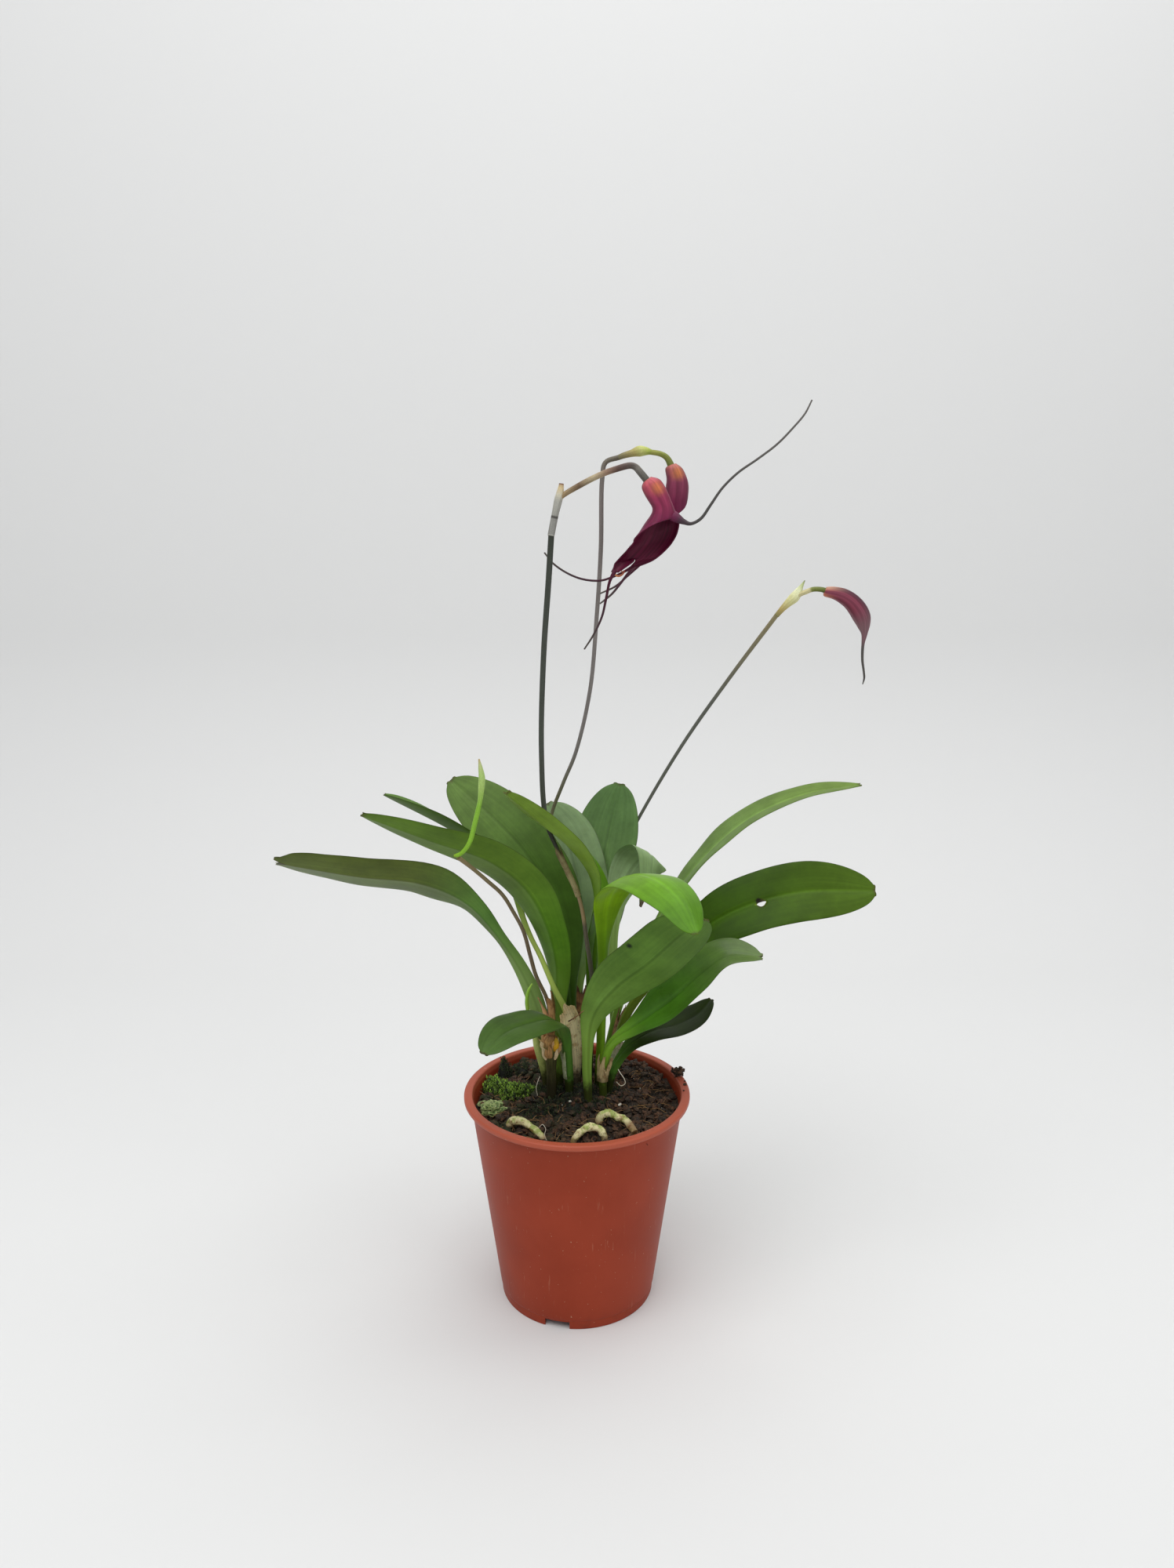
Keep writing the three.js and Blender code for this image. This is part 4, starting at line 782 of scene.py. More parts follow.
def leaf_frames(leaf, t):
    """Points, tangents, across and face directions at shares t of the leaf's length."""
    route = leaf_route(leaf)
    u = route.by_length(t)
    point, tangent = route.at(u), route.tangent(u)
    tip = np.array(leaf["route"][-1])
    lean = unit(np.array([tip[0] - leaf["foot"][0], tip[1] - leaf["foot"][1], 0]))
    side = np.cross(UP, lean)
    flat = unit(side - tangent * (tangent @ side)[:, None])
    face = np.cross(tangent, flat)
    roll = np.radians(along(leaf["roll"], t))[:, None]
    s = flat * np.cos(roll) + face * np.sin(roll)
    return point, tangent, s, np.cross(tangent, s)


def leaf_part(leaf, seed):
    t = 1 - (1 - np.linspace(0, 1, LEAF_RINGS + 1)) ** TIP_CROWDING
    point, tangent, s, n = leaf_frames(leaf, t)
    share = np.clip((t - leaf["blade_from"]) / (1 - leaf["blade_from"]), 0, 1)
    stalk_width, stalk_thickness = leaf.get("stalk", STALK)
    petiole_share = smoothstep(t, 0.1, leaf["blade_from"])
    petiole = STEM_RADIUS + (stalk_width - STEM_RADIUS) * petiole_share
    tip = np.clip((share - leaf["tip_from"]) / (1 - leaf["tip_from"]), 0, 1)
    rounding = np.maximum(np.sqrt(1 - tip * tip), leaf.get("tip_width", TIP_WIDTH))
    widening = along(leaf.get("profile", BLADE_PROFILE), share)
    half_width = petiole + (leaf["half_width"] * rounding - petiole) * widening
    thinning = smoothstep(share, 0, 0.35)
    blade = BLADE_HALF_THICKNESS + (TIP_HALF_THICKNESS - BLADE_HALF_THICKNESS) * share ** 2
    stem = STEM_RADIUS + (stalk_thickness - STEM_RADIUS) * petiole_share
    half_thickness = stem + (blade - stem) * thinning
    slope = math.tan(math.radians(leaf["fold"])) * thinning
    notch = leaf["notch"] * smoothstep(share, leaf.get("notch_from", TIP_NOTCH_FROM), 1)

    half = np.array(SECTION)
    upper = np.concatenate([[1.0], half[::-1], -half[1:], [-1.0]])
    across = np.concatenate([upper, upper[-2:0:-1]])
    top = np.concatenate([np.ones(len(upper)), -np.ones(len(upper) - 2)])
    top[0] = top[len(upper) - 1] = 0
    x = half_width[:, None] * across[None, :]
    height = half_thickness[:, None] * (1 - np.abs(across) ** 3) ** 0.6 * np.sign(top)
    groove = (smoothstep(share, 0.0, 0.1) * (1 - 0.5 * share))[:, None]
    dent = 0.5 * groove * np.exp(-(x / 0.9) ** 2) * (top > 0)
    keel = 0.35 * groove * np.exp(-(x / 1.1) ** 2) * (top < 0)
    wave = wobble(point, 16, leaf.get("wave", 0.7), seed)[:, None] * across ** 2 * np.sign(across)
    lift = slope[:, None] * (np.hypot(x, FOLD_SOFTNESS) - FOLD_SOFTNESS) + height - dent - keel
    lift = lift + wave * thinning[:, None] * (1 - 0.6 * tip[:, None])
    rings = (point[:, None] + s[:, None] * x[..., None] + n[:, None] * lift[..., None]
             - tangent[:, None] * (notch[:, None] * np.interp(np.abs(across), *NOTCH_SHAPE))[..., None])
    return loft(rings, {"blade": share[:, None], "across": across, "from_rib": x, "top": top})


def leaf_paint(name, tones, rib=-0.2, gloss=0.42, bloom_and_sheen=0):
    """Leathery leaf: fine veins along it, a rib, a thin dark margin and a paler petiole.

    The last argument lays a grey-green cast on the underside's lower half: partly a waxy coat, partly painted
    sheen.
    """
    upper, under, petiole, tip_tone, low_under = tones.split()
    p = Paint(name)
    blade, across = p.attribute("blade"), p.attribute("across")
    aside = p.absolute(across)
    top = p.smooth(p.attribute("top"), -0.2, 0.2)
    veins = p.grain(2.0, (across, 8.0), (blade, 1.6))
    fine = p.grain(1.0, (across, 30.0), (blade, 2.5), z=4.0)
    blotch = p.noise(11.0)
    mottle = p.noise(1.6)
    low = p.mix(p.smooth(blade, 0.3, 0.62), low_under, under)
    p.colour = p.mix(top, low, p.mix(p.smooth(blade, 0.45, 0.95), upper, tip_tone))
    # Grey-green cast on the underside's lower half: partly waxy coat, partly painted sheen.
    if bloom_and_sheen:
        p.lay(p.times(p.smooth(across, -0.02, -0.12), p.math("SUBTRACT", 1.0, top)), "#65774a", bloom_and_sheen)
    for value, amount in ((veins, 0.07), (fine, 0.03), (mottle, 0.04), (blotch, 0.14)):
        p.vary(value, amount)
    p.lay(p.smooth(blade, 0.34, 0.0), petiole)
    centre = p.smooth(p.absolute(p.attribute("from_rib")), 0.9, 0.15)
    p.shade(p.plus(1.0, p.times(p.smooth(blade, 1.0, 0.8), p.times(centre, rib))))
    p.shade(p.plus(0.94, p.times(p.smooth(aside, 0.75, 0.0), 0.12)))
    p.lay(p.times(p.smooth(aside, 0.965, 0.998), p.smooth(blade, 0.05, 0.5)), "#2f2a1e", 0.6)
    p.lay(p.smooth(p.plus(blade, p.times(mottle, 0.02)), 0.996, 1.012), "#4a3a2a", 0.7)
    for t, x, reach, mark in LEAF_MARKS.get(name, ()):
        p.lay(p.near(leaf_spot(name, t, x)[0], reach * 0.55, reach), mark)
    p.darken_foot()
    relief = p.plus(p.times(veins, 0.7), p.times(mottle, 0.4))
    rough = p.plus(p.times(blotch, 0.14), gloss - 0.07)
    return p.finish(rough, 0.22 if gloss < 0.32 else 0.1, relief, glow=(0.1, (0.5, 0.9, 0.1), 0.001))


def leaf_spot(name, t, x):
    """The point x mm from the rib at share t of a leaf's length, and the way that its face looks."""
    point, _, s, n = leaf_frames(LEAVES[name], np.array([t]))
    return point[0] + s[0] * x, n[0]


def build_leaves():
    for seed, (name, leaf) in enumerate(LEAVES.items()):
        looks = {key: leaf[key] for key in ("tones", "rib", "gloss", "bloom_and_sheen") if key in leaf}
        slot = "leaf_young" if name == "leaf_young_arching" else "leaf"
        piece = add_piece(name, leaf_part(leaf, seed), leaf_paint(name, **looks), slot)
        if name == LEAF_HOLE["leaf"]:
            cut_away(piece, [hole_cutter()])


def hole_cutter():
    """An oval rod through the leaf that has a hole."""
    centre, n = leaf_spot(LEAF_HOLE["leaf"], LEAF_HOLE["at"], LEAF_HOLE["across"])
    _, tangent, s, _ = leaf_frames(LEAVES[LEAF_HOLE["leaf"]], np.array([LEAF_HOLE["at"]]))
    angle = circle(22)
    radius = LEAF_HOLE["radius"] * (1 + 0.14 * np.sin(3 * angle))[:, None]
    ring = radius * (tangent * LEAF_HOLE["stretch"] * np.cos(angle)[:, None] + s * np.sin(angle)[:, None])
    return cutter("hole", loft(np.stack([centre + ring - 4 * n, centre + ring + 4 * n]), {}))


def stem_paint(name, roughness=0.45, streak=0.12, dark_foot=True, tones=None):
    """A stem whose colour runs through its tones, with fine streaks. The tones may be another strand's."""
    p = Paint(name)
    ramp = p.add("ValToRGB", {"Fac": p.attribute("along")})
    stops = [stop.split() for stop in STEM_TONES[tones or name].split(", ")]
    while len(ramp.color_ramp.elements) < len(stops):
        ramp.color_ramp.elements.new(0.5)
    for element, (place, tone) in zip(ramp.color_ramp.elements, stops):
        element.position = float(place)
        element.color = rgb(tone)
    p.colour = ramp.outputs[0]
    sideways, facing, length = (p.attribute(key) for key in ("sideways", "facing", "length"))
    streaks = p.grain(3.0, (sideways, 4.0), (facing, 4.0), (length, 0.12))
    specks = p.noise(0.45, 2.0)
    p.vary(streaks, streak)
    p.vary(specks, 0.07, 0.35, 0.65)
    if dark_foot:
        p.darken_foot()
    return p.finish(roughness, 0.2, p.plus(streaks, p.times(specks, 0.4)))


def old_stem_swell(u, a):
    return 1 + 0.2 * smoothstep(u, 0.66, 0.8) * np.sin(5 * a + 9 * u) * np.cos(3 * a - 20 * u)


def bud_swell(u, a):
    return 1 + 0.07 * smoothstep(u, 0.05, 0.2) * smoothstep(1 - u, 0.35, 0.5) * np.cos(3 * a + 0.6)


def build_stems():
    for name, points in {**STEMS, **PEDICELS}.items():
        add_strand(name, points, stem_paint(name, streak=0.2 if name in PEDICELS else 0.12), "stem")
    for name, points in (("bud_green", BUD_GREEN), ("young_shoot", YOUNG_SHOOT)):
        add_strand(name, points, stem_paint(name), "leaf_young")
    add_strand("old_stem", OLD_STEM, stem_paint("old_stem", 0.7, 0.35), "stem", 24, swell=old_stem_swell)
    build_knot()
    for name, points in BRACTS.items():
        roughness, slot = (0.6, "dry_sheath") if name == "bract_dry" else (0.5, "bract")
        add_strand(name, points, stem_paint(name, roughness), slot, 16, 10)


def build_knot():
    """Papery shreds around the knot of the old stem, and the yellow bud that breaks through them."""
    rng = random.Random(SEED + 4)
    shreds = []
    middle = np.array([*OLD_STEM[-1][:2], 0])
    for k in range(17):
        out = level(math.radians(200 + 21 * k))
        low, tall = rng.uniform(99.5, 104), rng.uniform(3.5, 7)
        wide = rng.uniform(0.5, 1.1)
        stages = ((2.3, 0, 0.7), (3.5, 0.35, 1), (3.9, 0.7, 0.8), (4.1 + rng.random(), 1, 0.15))
        path = [(*(middle + out * reach + UP * (low + tall * rise)), wide * width, 0.14)
                for reach, rise, width in stages]
        rings, values = strand_rings(path, 8, 4)
        shreds.append(loft(rings, {**values, "along": rng.random()}))
    add_piece("knot_shreds", merge(shreds), stem_paint("knot_shreds", 0.6, 0.3), "dry_sheath", extra=True)
    add_strand("knot_bud", KNOT_BUD, stem_paint("knot_bud"), "bract", 14, 6, extra=True)


def build_trim():
    """Small loose things: a straw, a withered curl on a tail, and thin root hairs."""
    for name, (slot, points) in TRIM.items():
        hair = name.startswith("root_hair")
        material = stem_paint(name, 0.6, dark_foot=not hair, tones="root_hair" if hair else None)
        add_strand(name, points, material, slot, 8, 6, extra=True)


def flower_row(row, angle, lift):
    """Points around one row: the right edge is at angle 0, the near wall at 90 degrees."""
    (left_x, left_z), (right_x, right_z), y, depth = row
    left = np.array([left_x, y, left_z], float)
    right = np.array([right_x, y, right_z], float)
    half = (right - left) / 2
    rise = -unit(np.cross(half, FRONT))
    near = np.maximum(np.sin(angle), 0)[:, None]
    return ((left + right) / 2 + half * np.cos(angle)[:, None] + FRONT * depth * np.sin(angle)[:, None]
            + rise * lift * near)


def skin(rows, steps):
    """Smooth rows between control rows, each column on its own spline."""
    rows = np.array(rows)
    u = np.linspace(0, 1, (len(rows) - 1) * steps + 1)
    flat = rows.reshape(len(rows), -1)
    columns = [along(flat[:, k], u) for k in range(flat.shape[1])]
    return np.stack(columns, axis=1).reshape(len(u), rows.shape[1], 3), u


def flower_values(share, turn):
    return {"tube": share, "side": np.cos(turn), "near": np.sin(turn)}


def flower_part(flower):
    """The tube and its joined sepals as one sheet, and the two lobes that it parts into."""
    full, half = circle(FLOWER_COLUMNS), FLOWER_COLUMNS // 2
    rows, sepals, lift = flower["rows"], flower["sepals"], flower["mouth_lift"]
    last = len(rows) - 1
    controls = [flower_row(row, full, lift if i >= last else 0) for i, row in enumerate(rows + sepals)]
    smooth, u = skin(controls, FLOWER_STEPS)
    mouth = last * FLOWER_STEPS * FLOWER_COLUMNS
    faces = [face for face in grid_faces(len(smooth), FLOWER_COLUMNS, True)
             if face[0] < mouth or face[0] % FLOWER_COLUMNS >= half]
    used = sorted({k for face in faces for k in face})
    order = {k: i for i, k in enumerate(used)}
    faces = [tuple(order[k] for k in face) for face in faces]
    share = np.repeat(u, FLOWER_COLUMNS)[used] * (len(controls) - 1) / last
    parts = [(smooth.reshape(-1, 3)[used], faces, flower_values(share, np.tile(full, len(u))[used]))]
    split = int(round(FLOWER_COLUMNS * (0.5 + 0.5 * flower["split"])))
    for (first, end), lobe in zip(((half, split), (split, FLOWER_COLUMNS)), flower["lobes"]):
        spread = np.linspace(math.pi, math.tau, end - first + 1)
        columns = [k % FLOWER_COLUMNS for k in range(first, end + 1)]
        rows = [control[columns] for control in controls[-2:]] + [flower_row(row, spread, 0) for row in lobe]
        strip = skin(rows, FLOWER_STEPS)[0][FLOWER_STEPS:]
        share = np.repeat(1 + len(sepals) / last + np.linspace(0, 0.4, len(strip)), len(columns))
        values = flower_values(share, np.tile(full[columns], len(strip)))
        parts.append((strip, grid_faces(len(strip), len(columns), False), values))
    return merge(parts)


def weld(points, faces, values, reach=0.01):
    """Joins points that lie on each other."""
    keys = {}
    order = np.empty(len(points), int)
    kept = []
    for i, key in enumerate(map(tuple, np.round(points / reach).astype(int))):
        if key not in keys:
            keys[key] = len(kept)
            kept.append(i)
        order[i] = keys[key]
    merged = [tuple(order[k] for k in face) for face in faces]
    return points[kept], merged, {key: value[kept] for key, value in values.items()}


def flower_paint(name, crown, crown_reach, tone, patch_and_highlight):
    """Coral crown with an orange area, partly a painted highlight, magenta tube, and dark wine red inside and
    towards the tails.
    """
    p = Paint(name)
    tube, inner, side, near = (p.attribute(key) for key in ("tube", "inner", "side", "near"))
    ribs = p.grain(2.0, (side, 2.6), (near, 2.6), (tube, 1.2))
    fine = p.grain(2.0, (side, 9.0), (near, 9.0), (tube, 1.0))
    wander = p.plus(tube, p.times(p.math("SUBTRACT", p.noise(3.0), 0.5), 0.3))
    p.colour = p.mix(p.smooth(wander, 0.0, crown_reach), crown, tone)
    p.lay(p.smooth(wander, crown_reach * 0.8, 1.0), "#6d1f42")
    p.lay(p.smooth(wander, 1.02, 1.3), "#480f2a")
    # Orange area: partly the flower's colour, partly a painted highlight.
    p.lay(p.near(patch_and_highlight, 0.3, 4.0), "#cb7f3e", 0.7)
    # Painted sheen: a pale greyish rim along the crown's top edge.
    p.lay(p.smooth(tube, 0.05, 0.0), "#a8665a")
    p.vary(ribs, 0.2)
    p.vary(fine, 0.07)
    # Painted shade: darker towards the left and right edges, where the tube turns away.
    p.shade(p.smooth(p.absolute(side), 0.6, 1.0, 1.0, 0.72))
    p.lay(p.smooth(inner, 0.4, 0.6), p.mix(p.smooth(fine, 0.3, 0.7), "#450a22", "#5e1130"))
    relief = p.plus(ribs, p.times(p.noise(0.35, 2.0), 0.35))
    return p.finish(0.45, 0.18, relief, 0.15, glow=PETAL_GLOW)


def bud_paint():
    p = Paint("flower_bud")
    t, side, facing = (p.attribute(key) for key in ("along", "sideways", "facing"))
    lines = p.grain(2.0, (side, 3.0), (facing, 3.0), (t, 2.0))
    p.colour = p.mix(p.smooth(t, 0.06, 0.26), "#b8705c", "#703040")
    p.lay(p.smooth(p.absolute(side), 0.7, 0.1), "#7c3c4c")
    # Upper edge: a painted highlight near the crown, then a dark line further along.
    p.lay(p.smooth(side, 0.3, 0.95), p.mix(p.smooth(t, 0.12, 0.3), "#b98a72", "#56303c"))
    p.lay(p.smooth(t, 0.36, 0.56), "#7d5c62")
    p.lay(p.smooth(t, 0.62, 0.72), "#565350")
    p.vary(lines, 0.22)
    return p.finish(0.45, 0.18, lines, 0.2, 0.6, PETAL_GLOW)


def build_flowers():
    for name, flower in FLOWERS.items():
        points, faces, values = weld(*flower_part(flower))
        material = flower_paint(name, *flower["crown"], flower["patch_and_highlight"])
        add_piece(name, thick_sheet(points, faces, FLOWER_WALL, values), material, "flower", sharp=60)
        for number, tail in enumerate(flower["tails"], 1):
            tail_name = f"{name}_tail_{number}"
            material = stem_paint(tail_name, 0.5, tones="long_tail" if number == 3 else "short_tail")
            add_strand(tail_name, tail, material, "flower", 10, extra=True)
    add_strand("flower_bud", FLOWER_BUD, bud_paint(), "flower", 36, swell=bud_swell)


def sheath_paint(name, colour, stain):
    """Dry paper: lengthwise fibres, stains, thin cracks and a darker ragged top."""
    p = Paint(name, colour)
    t, turn = p.attribute("along"), p.attribute("turn")
    fibres = p.grain(2.0, (turn, 22.0), (t, 1.4))
    patches = p.noise(2.6, 4.0)
    p.lay(p.smooth(patches, 0.45, 0.68), stain, 0.75)
    p.lay(p.smooth(t, 0.82, 1.0), stain, 0.6)
    p.vary(fibres, 0.18)
    veer = p.absolute(p.math("SUBTRACT", p.noise(3.4, distortion=0.4), 0.5))
    p.lay(p.times(p.smooth(veer, 0.014, 0.0), p.smooth(patches, 0.36, 0.5)), "#4a3a26", 0.6)
    p.darken_foot()
    relief = p.plus(fibres, p.times(patches, 0.6))
    return p.finish(0.62, 0.3, relief, 0.25, 0.7, (0.1, (1.0, 0.7, 0.4), 0.0006))


def sheath_part(spec, seed):
    leaf = LEAVES.get(spec["on"])
    route = leaf_route(leaf) if leaf else Route(STEMS[spec["on"]])
    foot = route.points[0]
    start = spec.get("start", float(soil_height(foot[0], foot[1])) + SHEATH_FOOT)
    first, last = route.share_at_height(start), route.share_at_height(spec["top"])
    share = np.linspace(0, 1, SHEATH_ROWS)
    u = route.by_length(first + (last - first) * share)
    tangent = route.tangent(u)
    facing = level(math.radians(spec["facing"]))
    e1 = unit(facing - tangent * (tangent @ facing)[:, None])
    e2 = np.cross(tangent, e1)
    side = np.linspace(-0.5, 0.5, SHEATH_COLUMNS)
    angle = np.radians(spec["wrap"]) * side
    inner = along(spec["inner"], share)
    teeth = wobble([(k * 0.9, seed * 5.1, 0) for k in range(SHEATH_COLUMNS)], 1, 1)
    jag = spec.get("teeth", SHEATH_TEETH) * (np.cos(2.4 * 6 * (side + 0.5)) + 1.5 * teeth)
    at, depth = spec.get("rip", (0, 0))
    arch = (jag - spec.get("arch", SHEATH_ARCH) * np.abs(side)
            - depth * np.maximum(1 - np.abs(side - at) / 0.22, 0))
    ragged = smoothstep(share, 0.45, 1.0)[:, None] * arch[None, :]
    crumple = wobble([[(a * 4.0, b * 5.0, seed * 3.3) for a in side] for b in share], 1, 0.2)
    curl = 0.5 * smoothstep(np.abs(side) * 2, 0.7, 1.0)[None, :] * smoothstep(share, 0.3, 1.0)[:, None]
    radius = (inner + SHEATH_THICKNESS)[:, None] + crumple + curl
    back = np.maximum(inner - spec["snug"], 0)[:, None]
    points = (route.at(u)[:, None] + e1[:, None] * (radius * np.cos(angle) - back)[..., None]
              + e2[:, None] * (radius * np.sin(angle))[..., None] + tangent[:, None] * ragged[..., None])
    values = {"along": np.repeat(share, SHEATH_COLUMNS), "turn": np.tile(side, SHEATH_ROWS)}
    return thick_sheet(points, grid_faces(SHEATH_ROWS, SHEATH_COLUMNS, False), 0.3, values)


def build_sheaths():
    for seed, (name, spec) in enumerate(SHEATHS.items()):
        material = sheath_paint(name, spec["color"], spec["stain"])
        add_piece(name, sheath_part(spec, seed), material, "dry_sheath", sharp=60)


def root_paint(name):
    p = Paint(name)
    p.colour = p.mix(p.smooth(p.noise(3.0, distortion=0.6), 0.46, 0.6), "#ded6a2", "#a3b062")
    p.lay(p.smooth(p.noise(2.0, 4.0), 0.54, 0.66), "#8a6236", 0.75)
    p.lay(p.smooth(p.noise(0.6, 2.0), 0.62, 0.7), "#4c3a20", 0.7)
    t = p.attribute("along")
    p.lay(p.plus(p.smooth(t, 0.24, 0.1), p.smooth(t, 0.78, 0.9)), "#7a5230", 0.8)
    pits = p.add("TexVoronoi", {"Vector": p.place, "Scale": 1 / 0.8}).outputs["Distance"]
    relief = p.plus(p.noise(1.2, 4.0), p.times(pits, 0.3))
    return p.finish(0.6, 0.35, relief, 0.35, 0.8, (0.1, (1, 0.9, 0.4), 0.001))


def build_roots():
    for seed, (name, route) in enumerate(ROOTS.items()):
        rings, values = strand_rings(route, 24, 12)
        centre = rings.mean(axis=1, keepdims=True)
        bumps = 0.9 + wobble(rings, 2.6, 0.3, seed) + wobble(rings, 1.0, 0.12, seed + 5)
        rings = centre + (rings - centre) * bumps[..., None]
        add_piece(name, loft(rings, values), root_paint(name), "root")


def rounded_outline(corners, radius=0.35, steps=4):
    """The outline with each corner rounded by short arcs, as a quadratic curve."""
    points = []
    corners = [np.array(c, float) for c in corners]
    for before, corner, after in zip(corners[-1:] + corners, corners, corners[1:] + corners[:1]):
        start, end = (corner + unit(other - corner) * min(radius, np.linalg.norm(other - corner) * 0.4)
                      for other in (before, after))
        for share in np.linspace(0, 1, steps):
            points.append((1 - share) ** 2 * start + 2 * share * (1 - share) * corner + share ** 2 * end)
    return np.array(points)


def pot_paint():
    """Satin terracotta-brown plastic with scuffs, dust specks and a paler lip, whose paleness is a painted
    highlight.
    """
    p = Paint("pot")
    height = p.axis(2)
    cloud = p.noise(26.0, 4.0)
    p.colour = p.mix(p.smooth(cloud, 0.3, 0.7), "#913822", "#9b3e27")
    lip = p.smooth(height, 83.2, 84.4)
    # Painted highlight: the lip is laid paler than the body.
    p.lay(lip, "#b3573e", 0.8)
    scuffs = p.smooth(p.grain(3.0, (p.axis(0), 0.9), (height, 0.06), z=2.0), 0.62, 0.7)
    p.lay(p.times(scuffs, p.smooth(p.noise(7.0, 2.0), 0.52, 0.64)), "#b5735a", 0.35)
    p.lay(p.smooth(p.noise(0.8, 1.0), 0.76, 0.8), "#c9a98c", 0.6)
    p.lay(p.times(p.smooth(height, 9.0, 0.0), p.smooth(p.noise(4.0), 0.45, 0.7)), "#6b3020", 0.35)
    rough = p.plus(p.times(cloud, 0.16), 0.36)
    relief = p.plus(p.times(p.noise(0.6, 2.0), 0.3), p.times(scuffs, 0.5))
    return p.finish(rough, p.plus(p.times(lip, 0.16), 0.12), relief, 0.08)


def build_pot():
    corners = rounded_outline(POT_OUTLINE)
    outline = []
    for point, following in zip(corners, np.roll(corners, -1, axis=0)):
        pieces = max(1, int(np.linalg.norm(following - point) / 8))
        outline += [point + (following - point) * k / pieces for k in range(pieces)]
    outline = np.array(outline)
    angle = circle(POT_SIDES)
    ring = np.stack([np.cos(angle), np.sin(angle)], axis=1)
    height = np.repeat(outline[:, None, 1:], POT_SIDES, 1)
    points = np.concatenate([outline[:, None, :1] * ring[None], height], 2)
    count = len(outline) * POT_SIDES
    faces = [tuple(k % count for k in face) for face in grid_faces(len(outline) + 1, POT_SIDES, True)]
    pot = add_piece("pot", (points, faces, {}), pot_paint(), "pot", sharp=POT_SHARP)
    cutters = [box_cutter(math.radians(turn)) for turn in NOTCH_ANGLES]
    cut_away(pot, cutters + [round_cutter(math.tau * i / DRAIN_HOLES) for i in range(DRAIN_HOLES)])
    pot.data.set_sharp_from_angle(angle=math.radians(POT_SHARP))


def cut_away(piece, cutters):
    """Cuts the helpers out of the piece and removes them."""
    for tool in cutters:
        cut = piece.modifiers.new("cut", "BOOLEAN")
        cut.operation = "DIFFERENCE"
        cut.solver = "EXACT"
        cut.object = tool
    bpy.context.view_layer.update()
    shown = piece.evaluated_get(bpy.context.evaluated_depsgraph_get())
    mesh = bpy.data.meshes.new_from_object(shown)
    piece.modifiers.clear()
    piece.data = mesh
    for tool in cutters:
        bpy.data.objects.remove(tool)


def cutter(name, part):
    return new_object(name, new_mesh(name, *part))


def box_cutter(turn):
    out = level(turn)
    side = np.cross(UP, out)
    points = [out * (INNER_FOOT[0] + 3 * i) + side * j * NOTCH_WIDTH / 2 + UP * NOTCH_HEIGHT * k
              for i in (-1, 1) for j in (-1, 1) for k in (-1, 1)]
    faces = [(0, 1, 3, 2), (4, 6, 7, 5), (0, 4, 5, 1), (2, 3, 7, 6), (0, 2, 6, 4), (1, 5, 7, 3)]
    return cutter("notch", (points, faces))


def round_cutter(turn):
    ring = DRAIN_HOLE_CIRCLE * level(turn) + DRAIN_HOLE_RADIUS * np.array([level(a) for a in circle(24)])
    return cutter("drain", loft(np.stack([ring, ring + 10 * UP]), {}))


def soil_paint():
    p = Paint("substrate")
    tint = p.attribute("tint")
    fine, coarse = p.noise(0.7, 5.0), p.noise(4.5, 4.0)
    p.colour = p.mix(p.smooth(coarse, 0.35, 0.65), "#1f1a16", "#3f342a")
    p.lay(p.smooth(fine, 0.48, 0.75), "#5e4b3a")
    p.lay(p.smooth(tint, 0.05, 0.5), p.mix(p.smooth(p.noise(1.1), 0.3, 0.7), "#241a15", "#6a4a34"))
    p.lay(p.smooth(tint, 0.62, 0.7), "#8a6a44")
    p.lay(p.smooth(tint, 0.9, 0.95), "#cfcabd")
    mossy = p.times(p.smooth(p.axis(0), 6.0, -20.0), p.smooth(p.noise(5.0, 4.0), 0.46, 0.6))
    p.lay(p.times(mossy, p.smooth(tint, 0.6, 0.5)), "#26351a", 0.7)
    relief = p.plus(fine, p.times(p.noise(0.3), 0.4))
    return p.finish(p.smooth(coarse, 0.3, 0.7, 0.62, 0.92), 0.35, relief, 0.5, 0.9)


def chip_part(centre, size, rng, tint):
    """A lumpy crumb: a squashed, turned and dented small ball."""
    rings, sides = 5, 7
    stretch = [size * rng.uniform(0.6, 1.6), size * rng.uniform(0.5, 1.1), size * rng.uniform(0.35, 0.8)]
    yaw, pitch = rng.uniform(0, math.tau), rng.uniform(-0.7, 0.7)
    points = [(0, 0, -1)]
    for i in range(1, rings):
        lat = math.pi * i / rings - math.pi / 2
        for k in range(sides):
            lon = math.tau * (k + 0.5 * (i % 2)) / sides
            points.append(rng.uniform(0.72, 1.15) * (level(lon) * math.cos(lat) + UP * math.sin(lat)))
    points.append((0, 0, 1))
    faces = [(0, 1 + (k + 1) % sides, 1 + k) for k in range(sides)]
    faces += [tuple(1 + k for k in face) for face in grid_faces(rings - 1, sides, True)]
    top = len(points) - 1
    faces += [(top, top - sides + k, top - sides + (k + 1) % sides) for k in range(sides)]
    return turned(np.array(points) * stretch, pitch, yaw) + centre, faces, {"tint": tint}


def fibre_part(start, length, radius, rng, tint):
    """A bent root hair or bark fibre that lies on the filling."""
    heading = rng.uniform(0, math.tau)
    bend = rng.uniform(-1.6, 1.6)
    count = 7
    points = []
    x, y = start[0], start[1]
    for i in range(count):
        z = start[2] + 0.6 * math.sin(math.pi * i / (count - 1)) * rng.uniform(0.4, 1.3)
        points.append((x, y, z, radius * (1 - 0.5 * i / count)))
        heading += bend / count + rng.uniform(-0.35, 0.35)
        x += length / count * math.cos(heading)
        y += length / count * math.sin(heading)
    return loft(strand_rings(points, 4, 2)[0], {"tint": tint})


def random_spot(rng, reach, mound=(0, 0, 1, 1)):
    """A place on a mound, within a share of its half sizes, or on the filling, within mm of its middle."""
    radius, turn = reach * math.sqrt(rng.random()), rng.uniform(0, math.tau)
    return mound[0] + mound[2] * radius * math.cos(turn), mound[1] + mound[3] * radius * math.sin(turn)


